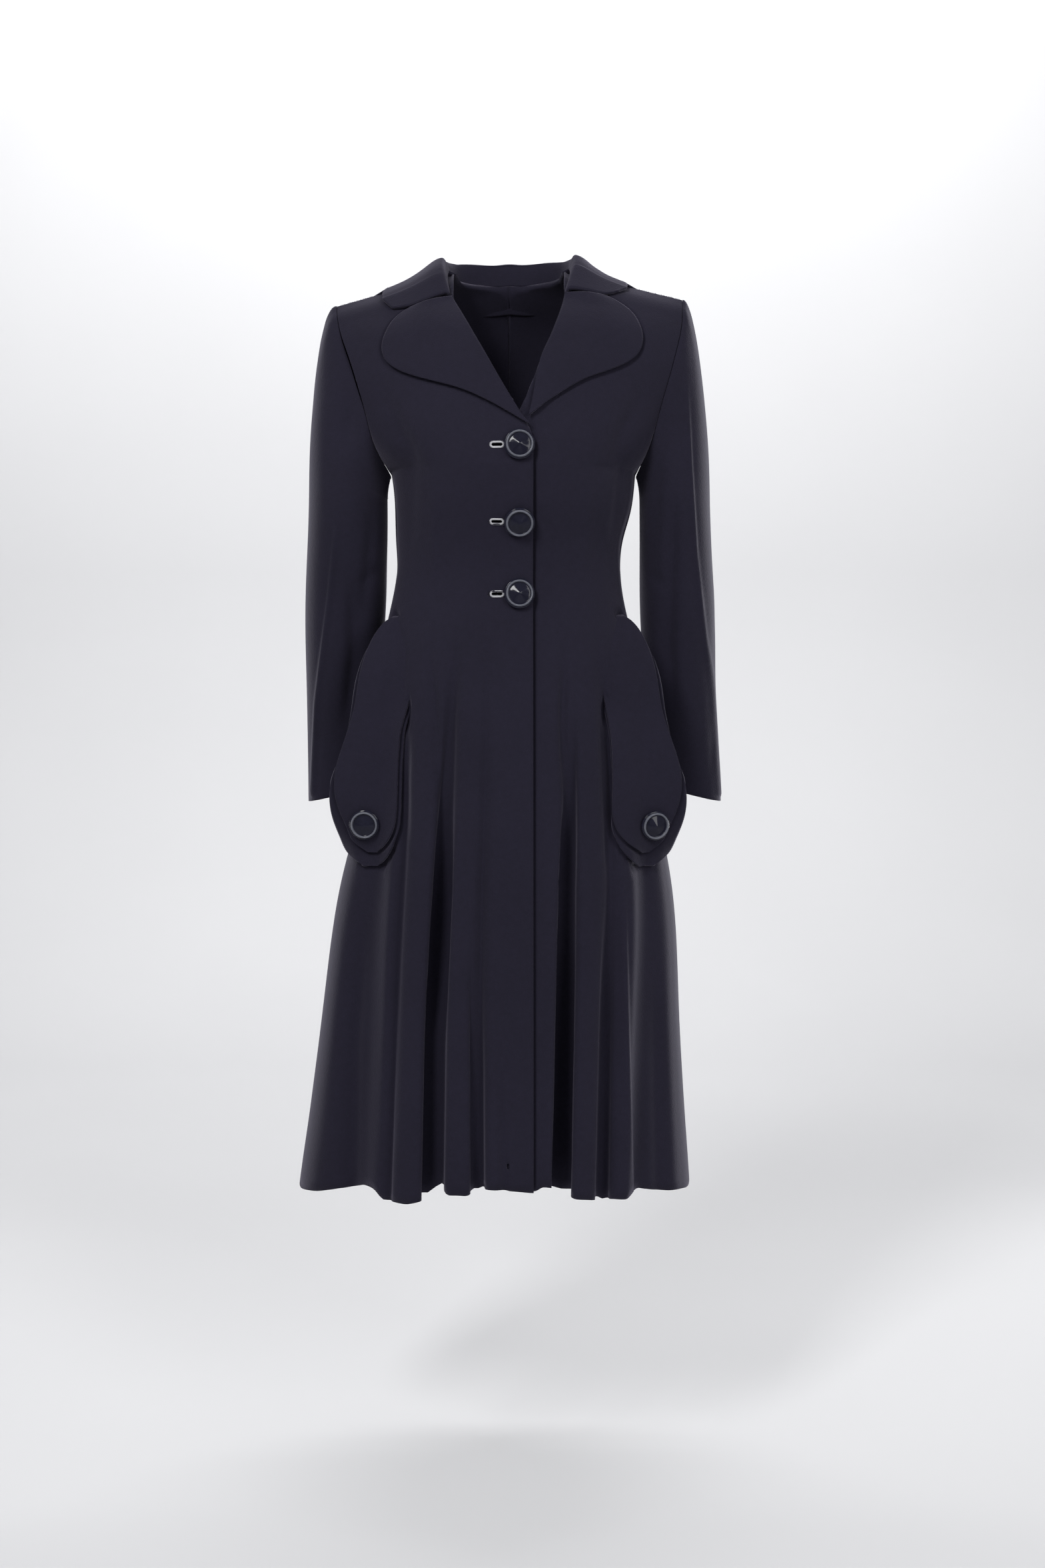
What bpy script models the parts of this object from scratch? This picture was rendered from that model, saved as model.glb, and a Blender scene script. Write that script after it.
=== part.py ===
"""Fitted wool coat with a wide notched collar, hip pockets and a flared skirt.

The coat keeps the hollow form it has when it is worn. Units are metres, +X is the wearer's left,
+Y the back and +Z up. The origin lies between the shoulders at the base of the neck, where it is held.
"""
import math
from collections import namedtuple

import bmesh
import bpy
import numpy as np
from mathutils import Vector

# Driving dimensions
CLOTH = 0.0020
DOUBLE = 0.0030
SEAM = 0.0003
SHOULDER = -0.007
ARMPIT = -0.217
HIP = -0.480
HEM = -1.100
FOLD_TOP = -0.400
FOLD_GROWTH = 0.85
FRONT_EDGE = 0.028
UNDERLAP_EDGE = -0.005
NECK_SHARE = 0.308
NAPE = -0.027

# Heights of the cloth's rows at the side: below the armhole, then up the armhole to the shoulder
LOWER_ROWS = (HEM, -1.000, -0.890, -0.790, -0.710, -0.640, -0.580, -0.525, -0.475, -0.430,
              -0.390, -0.355, -0.325, -0.295, -0.265, -0.240)
ARM_ROWS = (ARMPIT, -0.211, -0.196, -0.172, -0.140, -0.105, -0.075, -0.050, -0.034, -0.026,
            -0.020, -0.0145, SHOULDER)
ROWS = LOWER_ROWS + ARM_ROWS

# Cross-sections of the coat, from hem to shoulder. Height is at the side, z_front and z_back at the middle.
# Full and close are the powers that round the section, bend the power that carries a row to its side height.
Level = namedtuple("Level", "height z_front z_back tilt half_right half_left front back "
                            "edge_front edge_back full close bend")
LEVELS = (
    Level(HEM, -1.062, -1.100, 0, 0.263, 0.226, 0.172, 0.180, 0, 0, 2.0, 2.0, 2),
    Level(-0.900, -0.885, -0.900, 0, 0.236, 0.213, 0.156, 0.160, 0, 0, 2.0, 2.0, 2),
    Level(-0.720, -0.716, -0.720, 0, 0.210, 0.202, 0.141, 0.142, 0, 0, 2.0, 2.0, 2),
    Level(-0.600, -0.600, -0.600, 0, 0.180, 0.180, 0.130, 0.128, 0, 0, 2.1, 2.1, 2),
    Level(-0.500, -0.500, -0.500, 0, 0.166, 0.166, 0.120, 0.114, 0, 0, 2.2, 2.2, 2),
    Level(-0.420, -0.420, -0.420, 0, 0.155, 0.154, 0.109, 0.099, 0, 0, 2.2, 2.2, 2),
    Level(-0.378, -0.378, -0.378, 0, 0.146, 0.143, 0.102, 0.090, 0, 0, 2.1, 2.1, 2),
    Level(-0.335, -0.335, -0.335, 0, 0.1375, 0.1365, 0.098, 0.081, 0, 0, 2.1, 2.1, 2),
    Level(-0.295, -0.295, -0.295, 0, 0.1385, 0.139, 0.104, 0.080, 0, 0, 2.1, 2.1, 2),
    Level(-0.250, -0.250, -0.250, 0, 0.140, 0.151, 0.118, 0.088, 0, 0, 2.2, 2.1, 2),
    Level(ARMPIT, -0.213, -0.213, 0, 0.143, 0.154, 0.124, 0.097, 0, 0, 2.2, 1.9, 2),
    Level(-0.190, -0.184, -0.184, 0, 0.158, 0.166, 0.122, 0.102, -0.030, 0.036, 2.2, 1.4, 2),
    Level(-0.140, -0.130, -0.130, 0.001, 0.172, 0.180, 0.110, 0.106, -0.044, 0.052, 2.2, 1.1, 1.5),
    Level(-0.085, -0.070, -0.065, 0.002, 0.188, 0.196, 0.091, 0.102, -0.040, 0.050, 2.2, 1.0, 1.2),
    Level(-0.040, -0.012, -0.004, 0.003, 0.203, 0.207, 0.061, 0.080, -0.022, 0.034, 2.2, 1.0, 1),
    Level(-0.018, 0.033, 0.035, 0.004, 0.207, 0.209, 0.028, 0.042, -0.008, 0.020, 2.2, 1.0, 1),
    Level(SHOULDER, 0.047, 0.047, 0.004, 0.208, 0.210, -0.006, 0.006, 0.006, 0.006, 2.2, 1.0, 1),
)

# Folds across the cloth. Hip and hem place each ridge or trough as a share of the half width, minus on the
# wearer's right. Depth is how far it stands out at the hem.
Fold = namedtuple("Fold", "hip hem depth")
FRONT_FOLDS = (
    Fold(-1.000, -1.000, 0.000), Fold(-0.980, -0.965, 0.003), Fold(-0.930, -0.880, 0.006),
    Fold(-0.840, -0.720, -0.016), Fold(-0.730, -0.550, 0.008), Fold(-0.620, -0.450, 0.012),
    Fold(-0.480, -0.370, 0.006), Fold(-0.410, -0.327, -0.024), Fold(-0.345, -0.288, 0.005),
    Fold(-0.270, -0.228, 0.008), Fold(-0.205, -0.166, 0.003), Fold(-0.165, -0.141, -0.010),
    Fold(-0.120, -0.114, 0.002), Fold(0.010, -0.010, 0.004), Fold(0.170, 0.110, 0.003),
    Fold(0.220, 0.168, 0.000), Fold(0.340, 0.242, 0.000), Fold(0.405, 0.276, -0.024),
    Fold(0.470, 0.312, 0.004), Fold(0.540, 0.380, 0.008), Fold(0.620, 0.456, 0.004),
    Fold(0.675, 0.500, -0.012), Fold(0.730, 0.544, 0.002), Fold(0.800, 0.593, 0.006),
    Fold(0.845, 0.640, -0.002), Fold(0.890, 0.717, -0.008), Fold(0.940, 0.860, 0.004),
    Fold(0.980, 0.965, 0.002), Fold(1.000, 1.000, 0.000),
)
BACK_FOLDS = (
    Fold(-1.000, -1.000, 0.000), Fold(-0.980, -0.965, 0.002), Fold(-0.920, -0.860, 0.006),
    Fold(-0.800, -0.700, -0.010), Fold(-0.660, -0.540, 0.008), Fold(-0.480, -0.380, -0.012),
    Fold(-0.280, -0.220, 0.008), Fold(-0.100, -0.080, 0.002), Fold(0.000, 0.000, -0.002),
    Fold(0.100, 0.080, 0.002), Fold(0.260, 0.200, 0.007), Fold(0.460, 0.360, -0.011),
    Fold(0.640, 0.520, 0.009), Fold(0.790, 0.690, -0.009), Fold(0.920, 0.860, 0.005),
    Fold(0.980, 0.965, 0.002), Fold(1.000, 1.000, 0.000),
)
FOLDS = {"front": FRONT_FOLDS, "back": BACK_FOLDS}
WIDE_GAP = 0.10
# Folds on this panel's side of its middle edge start beyond this share
MIDDLE_FOLDS = {("front", "right"): 0.10, ("front", "left"): 0.10,
                ("back", "right"): -0.04, ("back", "left"): 0.04}

# Inner edges of the fronts by height: the front edge below the break, the roll line above it
Opening = namedtuple("Opening", "z right left")
OPENINGS = (
    Opening(HEM, FRONT_EDGE, UNDERLAP_EDGE),
    Opening(-0.172, FRONT_EDGE, UNDERLAP_EDGE),
    Opening(-0.153, 0.014, 0.014),
    Opening(-0.125, -0.0025, 0.022),
    Opening(-0.089, -0.023, 0.036),
    Opening(-0.039, -0.051, 0.056),
    Opening(-0.008, -0.067, 0.0655),
    Opening(0.030, -0.068, 0.068),
)
SINK_FROM = 0.062
SINK_TO = 0.040
SINK_DEPTH = 0.0034

# Lapels: points of the roll line and of the outer edge, from the gorge seam down to the break
Lapel = namedtuple("Lapel", "roll_x roll_z edge_x edge_z")
LAPELS = {
    "right": (
        Lapel(-0.067, -0.010, -0.117, -0.0225), Lapel(-0.060, -0.023, -0.135, -0.036),
        Lapel(-0.052, -0.037, -0.146, -0.055), Lapel(-0.043, -0.053, -0.149, -0.071),
        Lapel(-0.033, -0.071, -0.143, -0.087), Lapel(-0.023, -0.089, -0.121, -0.102),
        Lapel(-0.013, -0.107, -0.080, -0.115), Lapel(-0.001, -0.128, -0.036, -0.131),
        Lapel(0.014, -0.153, 0.025, -0.166),
    ),
    "left": (
        Lapel(0.0655, -0.006, 0.114, -0.0075), Lapel(0.064, -0.018, 0.133, -0.017),
        Lapel(0.060, -0.029, 0.148, -0.031), Lapel(0.055, -0.043, 0.1565, -0.050),
        Lapel(0.049, -0.058, 0.156, -0.067), Lapel(0.042, -0.073, 0.144, -0.085),
        Lapel(0.036, -0.087, 0.112, -0.1005), Lapel(0.030, -0.102, 0.080, -0.114),
        Lapel(0.0225, -0.124, 0.043, -0.141),
    ),
}
LAPEL_ROWS = 13
LAPEL_COLUMNS = 6
LAPEL_RISE = 0.004
LAPEL_EASE = 0.0008

# Collar: foot and outer edge for one half, as distance from the middle and distance below the shoulder line,
# minus in front of it and plus behind it
Collar = namedtuple("Collar", "foot_x foot_over edge_x edge_over stand")
COLLAR = (
    Collar(0.0715, -0.022, 0.149, -0.018, 0.010),
    Collar(0.0725, -0.010, 0.151, -0.008, 0.015),
    Collar(0.0720, 0.000, 0.147, 0.000, 0.018),
    Collar(0.0680, 0.006, 0.131, 0.013, 0.021),
    Collar(0.0560, 0.014, 0.102, 0.031, 0.025),
    Collar(0.0330, 0.022, 0.060, 0.044, 0.028),
    Collar(0.0000, 0.027, 0.000, 0.050, 0.030),
)
COLLAR_STEPS = 3
COLLAR_EASE = 0.0015
COLLAR_END_STAND = 0.004
COLLAR_DROP = {"right": 1.0, "left": 0.6}
FOOT_SINK = 0.6
COLLAR_REACH = {"right": 1.0, "left": 0.94}
COLLAR_CORNER = {"right": (-0.138, -0.0225), "left": (0.129, -0.001)}
NOTCH_SHARE = 0.70
# How the collar rises over its width, as shares: from its foot up the stand, over the roll, down the fall
COLLAR_RISE = ((0.0, 0.0), (0.03, 0.55), (0.08, 0.92), (0.15, 1.0), (0.26, 0.90), (0.45, 0.52),
               (NOTCH_SHARE, 0.18), (1.0, 0.0))

# Sleeve rings from the upper arm to the cuff, slant is how much lower the outer side ends
Ring = namedtuple("Ring", "height centre_right half_right centre_left half_left y depth slant")
SLEEVE = (
    Ring(-0.250, 0.197, 0.048, 0.203, 0.043, 0.012, 0.060, 0.000),
    Ring(-0.300, 0.199, 0.049, 0.205, 0.044, 0.020, 0.058, 0.000),
    Ring(-0.355, 0.202, 0.050, 0.208, 0.046, 0.032, 0.055, 0.000),
    Ring(-0.410, 0.205, 0.049, 0.211, 0.046, 0.043, 0.052, 0.000),
    Ring(-0.470, 0.208, 0.046, 0.215, 0.044, 0.052, 0.048, 0.001),
    Ring(-0.530, 0.211, 0.043, 0.220, 0.042, 0.058, 0.044, 0.004),
    Ring(-0.575, 0.213, 0.041, 0.225, 0.041, 0.061, 0.042, 0.007),
    Ring(-0.608, 0.214, 0.040, 0.228, 0.040, 0.062, 0.041, 0.010),
)
SLEEVE_SIDES = 2 * (len(ARM_ROWS) - 1)
CAP_STEPS = (0.0, 0.07, 0.16, 0.28, 0.44, 0.64, 0.82)
CAP_OUT = {"right": 0.072, "left": 0.050}
CAP_UP = 0.008
UNDERARM_OUT = 0.010
UNDERARM_DOWN = 0.030
CAP_FORWARD = 0.012

# Hip pockets: the under layer from its tip down, with the seam on the skirt and the reach of its free edge
Pocket = namedtuple("Pocket", "z seam reach")
POCKET = (
    Pocket(-0.382, 0.128, 0.136), Pocket(-0.415, 0.119, 0.157), Pocket(-0.457, 0.116, 0.174),
    Pocket(-0.510, 0.123, 0.183), Pocket(-0.560, 0.127, 0.197), Pocket(-0.594, 0.128, 0.206),
    Pocket(-0.632, 0.129, 0.205), Pocket(-0.658, 0.136, 0.195), Pocket(-0.676, 0.150, 0.184),
    Pocket(-0.684, 0.161, 0.173),
)
SEAM_SIDE = {"right": 1.0, "left": 0.955}
REACH_SIDE = {"right": 1.0, "left": 0.990}
POCKET_ROWS = 12
POCKET_COLUMNS = 7
POCKET_GRIP = 0.93
POCKET_EASE = 0.0009
POCKET_LOOSE = 0.004
FLAP_WIDTH = 0.94
FLAP_LENGTH = 0.945
FLAP_LIFT = CLOTH + 5 * SEAM
POCKET_STEP = 0.01

# Buttons: radius and height of the turned outline, from the middle of the face round to the back
BUTTON_OUTLINE = ((0.0000, 0.0088), (0.0100, 0.0046), (0.0112, 0.0044), (0.0125, 0.0064),
                  (0.0148, 0.0066), (0.0162, 0.0044), (0.0178, 0.0034), (0.0180, 0.0016),
                  (0.0168, 0.0000), (0.0040, 0.0000), (0.0034, -0.0008), (0.0000, -0.0008))
BUTTON_SIDES = 20
BUTTON_SHANK = 0.0010
BUTTON_REACH = 0.017
BUTTON_X = 0.012
BUTTON_HEIGHTS = (-0.188, -0.276, -0.3595)
POCKET_BUTTON = (0.66, -0.636)

# Buttonholes, gaping beside the front buttons
SLIT_X = -0.014
SLIT_LENGTH = 0.015
SLIT_HEIGHT = 0.005
SLIT_REACH = 0.030

Finish = namedtuple("Finish", "color roughness metallic")
WOOL = Finish((0.022, 0.021, 0.031, 1), 0.90, 0.0)
GLOSS = Finish((0.012, 0.012, 0.022, 1), 0.18, 0.0)

SIGN = {"right": -1, "left": 1}
STEP = 0.0002
# Rounds of search for a row and for a front edge, and how far a wall may thicken at a fold
ROW_ROUNDS = 26
EDGE_ROUNDS = 12
STRETCH_LIMIT = 1.5


class Smooth:
    """A smooth curve through rows of numbers, read at any place along it."""

    def __init__(self, places, rows):
        self.places = np.array(places, float)
        self.rows = np.array(rows, float)
        self.slopes = np.gradient(self.rows, self.places, axis=0)

    def at(self, place):
        """The row of numbers at a place."""
        i = int(np.clip(np.searchsorted(self.places, place) - 1, 0, len(self.places) - 2))
        width = self.places[i + 1] - self.places[i]
        t = (place - self.places[i]) / width
        start = (1 + 2 * t) * (1 - t) ** 2 * self.rows[i] + t * (1 - t) ** 2 * width * self.slopes[i]
        end = t * t * (3 - 2 * t) * self.rows[i + 1] + t * t * (t - 1) * width * self.slopes[i + 1]
        return start + end


SECTIONS = Smooth([level.height for level in LEVELS], LEVELS)
POCKET_LINE = Smooth([-row.z for row in POCKET], POCKET)


def section(height):
    """The coat's cross-section at a height of its side."""
    return Level(*SECTIONS.at(height))


def half_width(height, side):
    """Half of the coat's width at a height, on one side."""
    return getattr(section(height), f"half_{side}")


def side_of(x):
    """The wearer's side that a place is on."""
    return "right" if x < 0 else "left"


def fold_places(face, height):
    """Where the folds lie across a row, as shares of the half width."""
    drift = np.clip((HIP - height) / (HIP - HEM), 0, 1)
    return [fold.hip + (fold.hem - fold.hip) * drift for fold in FOLDS[face]]


def fold_depth(share, height, face):
    """How far a fold moves the cloth out at one point."""
    if height >= FOLD_TOP:
        return 0.0
    growth = ((FOLD_TOP - height) / (FOLD_TOP - HEM)) ** FOLD_GROWTH
    depths = [fold.depth for fold in FOLDS[face]]
    return growth * Smooth(fold_places(face, height), depths).at(share)


def cloth(share, height, face):
    """A point on the outer face of the coat's body."""
    level = section(height)
    half = half_width(height, side_of(share))
    front = face == "front"
    middle_y = -level.front if front else level.back
    middle_z = level.z_front if front else level.z_back
    edge_y = level.edge_front if front else level.edge_back
    if height <= ARMPIT:
        edge_y = 0.0
    size = min(abs(share), 1.0)
    arc = (1 - size ** level.full) ** (1 / level.close)
    point = np.array([share * half,
                      edge_y + (middle_y - edge_y) * arc,
                      middle_z + (height - middle_z) * size ** level.bend + level.tilt * share])
    outward = np.array([point[0] / half ** 2, point[1] / max(middle_y ** 2, STEP), 0])
    depth = fold_depth(share, height, face)
    if depth:
        point += outward / np.linalg.norm(outward) * depth
    point[1] += -SEAM / 2 if front else SEAM / 2
    return point


def find_height(x, z, face):
    """The row that passes through a place given by its distance from the middle and its height."""
    low, high = HEM, SHOULDER
    for _ in range(ROW_ROUNDS):
        middle = (low + high) / 2
        if cloth(x / half_width(middle, side_of(x)), middle, face)[2] < z:
            low = middle
        else:
            high = middle
    return high


def on_cloth(x, z, face="front"):
    """The point of the cloth at x and z, and the direction that points out of it."""
    height = find_height(x, z, face)
    share = x / half_width(height, side_of(x))
    inside = np.clip(share, -1 + STEP, 1 - STEP)
    across = cloth(inside + STEP, height, face) - cloth(inside - STEP, height, face)
    upward = cloth(share, height, face) - cloth(share, height - STEP, face)
    normal = np.cross(across, upward) if face == "front" else np.cross(upward, across)
    return cloth(share, height, face), normal / np.linalg.norm(normal)


def shoulder_line(x):
    """The height of the shoulder seam."""
    return cloth(x / half_width(SHOULDER, side_of(x)), SHOULDER, "front")[2]


def grid_normals(grid, closed=False):
    """Directions out of a grid of points, long enough to keep a wall's thickness at its folds."""
    ring = np.concatenate([grid, grid[:, :1]], axis=1) if closed else grid
    face = np.cross(ring[1:, 1:] - ring[:-1, :-1], ring[1:, :-1] - ring[:-1, 1:])
    face /= np.linalg.norm(face, axis=2, keepdims=True)
    total = np.zeros_like(ring)
    count = np.zeros(ring.shape[:2] + (1,))
    rows, columns = face.shape[:2]
    for down in (0, 1):
        for along in (0, 1):
            total[down:down + rows, along:along + columns] += face
            count[down:down + rows, along:along + columns] += 1
    if closed:
        total[:, 0] += total[:, -1]
        count[:, 0] += count[:, -1]
        total, count = total[:, :-1], count[:, :-1]
    length = np.linalg.norm(total, axis=2, keepdims=True)
    stretch = np.clip(count / length, 1.0, STRETCH_LIMIT)
    return total / length * stretch


def flatten(normals, axis):
    """Turn directions into a seam's plane, in place, so that the walls on both sides of it stay apart."""
    normals[:, axis] = 0
    normals /= np.linalg.norm(normals, axis=1, keepdims=True)


def paint(thing, finish):
    """Give an object a material of its own."""
    material = bpy.data.materials.new(thing.name)
    material.use_nodes = True
    shader = material.node_tree.nodes["Principled BSDF"]
    shader.inputs["Base Color"].default_value = finish.color
    shader.inputs["Roughness"].default_value = finish.roughness
    shader.inputs["Metallic"].default_value = finish.metallic
    thing.data.materials.append(material)


def add_object(name, mesh, finish):
    """Put a named piece in the coat."""
    mesh.shade_smooth()
    thing = bpy.data.objects.new(name, mesh)
    bpy.context.scene.collection.objects.link(thing)
    thing.parent = COAT
    paint(thing, finish)
    return thing


def wall(name, outer, thickness, finish, normals=None, closed=False):
    """Make a sheet of cloth from the points of its outer face, with its thickness inward."""
    if normals is None:
        normals = grid_normals(outer, closed)
    rows, columns = outer.shape[:2]
    inner = outer - normals * thickness
    points = np.concatenate([outer.reshape(-1, 3), inner.reshape(-1, 3)])
    back = rows * columns
    spans = columns if closed else columns - 1
    faces = []
    for r in range(rows - 1):
        for c in range(spans):
            d = (c + 1) % columns
            quad = [r * columns + c, r * columns + d, (r + 1) * columns + d, (r + 1) * columns + c]
            faces.append(quad)
            faces.append([back + i for i in reversed(quad)])
    rims = [[(c, (c + 1) % columns) for c in range(spans)],
            [((rows - 1) * columns + (c + 1) % columns, (rows - 1) * columns + c) for c in range(spans)]]
    if not closed:
        rims.append([((r + 1) * columns, r * columns) for r in range(rows - 1)])
        rims.append([(r * columns + columns - 1, (r + 2) * columns - 1) for r in range(rows - 1)])
    for rim in rims:
        for first, second in rim:
            faces.append([second, first, back + first, back + second])
    mesh = bpy.data.meshes.new(name)
    mesh.from_pydata(points.tolist(), [], faces)
    return add_object(name, mesh, finish)


def opening_share(height, side):
    """Where a row of a front ends at its front edge or roll line."""
    share = 0.0
    heights = [row.z for row in OPENINGS]
    edges = [getattr(row, side) for row in OPENINGS]
    for _ in range(EDGE_ROUNDS):
        x = np.interp(cloth(share, height, "front")[2], heights, edges)
        share = x / half_width(height, side_of(x))
    return share


def neck_share(height):
    """Where a row of the back ends: at the middle seam, or above the nape at the neckline."""
    reach = np.clip((height - NAPE) / (SHOULDER - NAPE), 0, 1)
    return NECK_SHARE * math.sqrt(1 - (1 - reach) ** 2)


def column_places(face, side, height):
    """Fold places on one side of the middle edge, with one more column in each wide gap."""
    limit = MIDDLE_FOLDS[face, side]
    picked = [(fold.hem, place) for fold, place in zip(FOLDS[face], fold_places(face, height))
              if (fold.hip - limit) * SIGN[side] > 0]
    places = []
    for (hem, place), (next_hem, next_place) in zip(picked, picked[1:]):
        places.append(place)
        if next_hem - hem > WIDE_GAP:
            places.append((place + next_place) / 2)
    places.append(picked[-1][1])
    return places


def body_row(face, side, height):
    """Shares across one row of a panel, from the wearer's right to left."""
    end = SIGN[side]
    if face == "front":
        edge = opening_share(height, side)
        plain_edge = (FRONT_EDGE if side == "right" else UNDERLAP_EDGE) / half_width(height, "left")
    else:
        plain_edge = end * SEAM / 2 / half_width(height, side)
        edge = plain_edge + end * neck_share(height)
    squeeze = (edge - end) / (plain_edge - end)
    shares = [end + (place - end) * squeeze for place in column_places(face, side, height)]
    return sorted(shares + [edge])


def sink(x):
    """How far the left front goes in where it runs under the right front."""
    t = np.clip((SINK_FROM - x) / (SINK_FROM - SINK_TO), 0, 1)
    return SINK_DEPTH * t * t * (3 - 2 * t)


def body_panel(face, side):
    """One front or one half of the back."""
    grid = np.array([[cloth(share, height, face) for share in body_row(face, side, height)]
                     for height in ROWS])
    if face == "front" and side == "left":
        below = np.array(ROWS) <= ARM_ROWS[4]
        grid[below, :, 1] += np.vectorize(sink)(grid[below, :, 0])
    if face == "back":
        grid = grid[:, ::-1]
    normals = grid_normals(grid)
    side_column = 0 if (face == "front") == (side == "right") else -1
    flatten(normals[:len(LOWER_ROWS) + 1, side_column], 1)
    flatten(normals[-1], 1)
    if face == "back":
        flatten(normals[:, -1 - side_column], 0)
    return wall(f"{face}_{side}", grid, CLOTH, WOOL, normals)


def buttonhole(panel, number, z):
    """Cut one gaping buttonhole through the right front."""
    centre, _ = on_cloth(SLIT_X, z)
    shape = bmesh.new()
    bmesh.ops.create_cube(shape, size=1)
    bmesh.ops.scale(shape, verts=shape.verts, vec=(SLIT_LENGTH, SLIT_REACH, SLIT_HEIGHT))
    mesh = bpy.data.meshes.new(f"slit_{number}")
    shape.to_mesh(mesh)
    shape.free()
    cutter = bpy.data.objects.new(mesh.name, mesh)
    bpy.context.scene.collection.objects.link(cutter)
    cutter.location = centre
    cutter.hide_render = True
    cutter.display_type = "WIRE"
    cut = panel.modifiers.new(mesh.name, "BOOLEAN")
    cut.operation = "DIFFERENCE"
    cut.object = cutter


def sleeve(side):
    """One set-in sleeve, an open tube from the armhole to the cuff."""
    sign = SIGN[side]
    heights = list(reversed(ARM_ROWS))
    loop = [cloth(sign, height, "front") for height in heights]
    loop += [cloth(sign, height, "back") for height in reversed(heights[1:-1])]
    angles = np.arange(SLEEVE_SIDES) * 2 * math.pi / SLEEVE_SIDES
    cosine, sine = np.cos(angles), np.sin(angles)
    rings = []
    for ring in SLEEVE:
        centre = getattr(ring, f"centre_{side}")
        half = getattr(ring, f"half_{side}")
        rings.append(np.stack([sign * (centre + half * cosine), ring.y - ring.depth * sine,
                               ring.height - ring.slant * cosine], axis=1))
    start = np.array(loop) + [sign * 2 * SEAM, 0, 0]
    top = (1 + cosine) / 2
    leave = np.stack([sign * (CAP_OUT[side] * top + UNDERARM_OUT * (1 - top)), -CAP_FORWARD * sine,
                      CAP_UP * top - UNDERARM_DOWN * (1 - top)], axis=1)
    arrive = np.zeros_like(leave)
    arrive[:, 2] = -np.linalg.norm(rings[0] - start, axis=1)
    cap = []
    for t in CAP_STEPS:
        cap.append((1 + 2 * t) * (1 - t) ** 2 * start + t * (1 - t) ** 2 * leave
                   + t * t * (3 - 2 * t) * rings[0] + t * t * (t - 1) * arrive)
    grid = np.array(cap + rings)
    if side == "right":
        grid = grid[::-1]
    return wall(f"sleeve_{side}", grid, CLOTH, WOOL, closed=True)


def lapel(side):
    """One lapel, lying on its front from the roll line to its rounded edge."""
    table = LAPELS[side]
    line = Smooth(np.linspace(0, 1, len(table)), table)
    grid = []
    for along in np.linspace(0, 1, LAPEL_ROWS):
        row = Lapel(*line.at(along))
        points = []
        for out in np.linspace(0, 1, LAPEL_COLUMNS):
            x = row.roll_x + (row.edge_x - row.roll_x) * out
            z = row.roll_z + (row.edge_z - row.roll_z) * out
            point, normal = on_cloth(x, z)
            rise = LAPEL_RISE * math.sin(math.pi * out) * (1 - along)
            points.append(point + normal * (LAPEL_EASE + DOUBLE + rise))
        grid.append(points)
    grid = np.array(grid)
    if side == "left":
        grid = grid[::-1]
    return wall(f"lapel_{side}", grid, DOUBLE, WOOL)


def collar_section(path, stand):
    """Points across the collar above a path on the cloth, given at its foot, notch and edge."""
    shares = (0.0, NOTCH_SHARE, 1.0)
    foot_lift = DOUBLE * (1 - FOOT_SINK * min(1.0, stand / COLLAR[0].stand))
    points = []
    for out, rise in COLLAR_RISE:
        x = np.interp(out, shares, [place[0] for place in path])
        over = np.interp(out, shares, [place[1] for place in path])
        point, normal = on_cloth(x, shoulder_line(x) - abs(over), "front" if over < 0 else "back")
        lift = foot_lift + (DOUBLE - foot_lift) * min(1.0, out / COLLAR_RISE[2][0])
        points.append(point + normal * (SEAM + COLLAR_EASE + lift) + np.array([0, 0, stand * rise]))
    return points


def collar_row(row, side):
    """One section of the collar from its table row."""
    sign = SIGN[side]
    foot_drop = COLLAR_DROP[side] if row.foot_over < 0 else 1.0
    edge_drop = COLLAR_DROP[side] if row.edge_over < 0 else 1.0
    foot = (sign * row.foot_x, row.foot_over * foot_drop)
    edge = (sign * row.edge_x * COLLAR_REACH[side], row.edge_over * edge_drop)
    notch = tuple(f + (e - f) * NOTCH_SHARE for f, e in zip(foot, edge))
    return collar_section((foot, notch, edge), row.stand)


def collar_end(side):
    """The end of the collar, along the gorge seam and out to the rounded corner."""
    gorge = LAPELS[side][0]
    places = ((gorge.roll_x, gorge.roll_z + 3 * SEAM), (gorge.edge_x, gorge.edge_z + 3 * SEAM),
              COLLAR_CORNER[side])
    return collar_section([(x, z - shoulder_line(x)) for x, z in places], COLLAR_END_STAND)


def collar():
    """The collar, from the left end round the back of the neck to the right end."""
    last = len(COLLAR) - 1
    line = Smooth(range(len(COLLAR)), COLLAR)
    table = [Collar(*line.at(place)) for place in np.linspace(0, last, last * COLLAR_STEPS + 1)]
    rows = [collar_end("left")]
    rows += [collar_row(row, "left") for row in table]
    rows += [collar_row(row, "right") for row in reversed(table[:-1])]
    rows.append(collar_end("right"))
    return wall("collar", np.array(rows), DOUBLE, WOOL)


def bag_point(side, out, z):
    """A point on the outer face of a pocket's under layer: out runs from its seam to its free edge."""
    sign = SIGN[side]
    row = Pocket(*POCKET_LINE.at(-z))
    reach = row.reach * REACH_SIDE[side]
    seam = row.seam * SEAM_SIDE[side]
    grip = min(reach, POCKET_GRIP * half_width(z, side))
    point, normal = on_cloth(sign * (seam + (grip - seam) * out), z)
    _, edge_normal = on_cloth(sign * grip, z)
    stand = (reach - grip) / abs(edge_normal[0]) * out * out
    return point + normal * (CLOTH + POCKET_EASE + POCKET_LOOSE * out) + edge_normal * stand


def on_pocket(side, out, z, lift):
    """A point moved out from a pocket's under layer, and the direction that points out of it."""
    across = bag_point(side, out + POCKET_STEP, z) - bag_point(side, out - POCKET_STEP, z)
    upward = bag_point(side, out, z + STEP) - bag_point(side, out, z - STEP)
    normal = np.cross(across, upward) * SIGN[side]
    normal /= np.linalg.norm(normal)
    return bag_point(side, out, z) + normal * lift, normal


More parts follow.
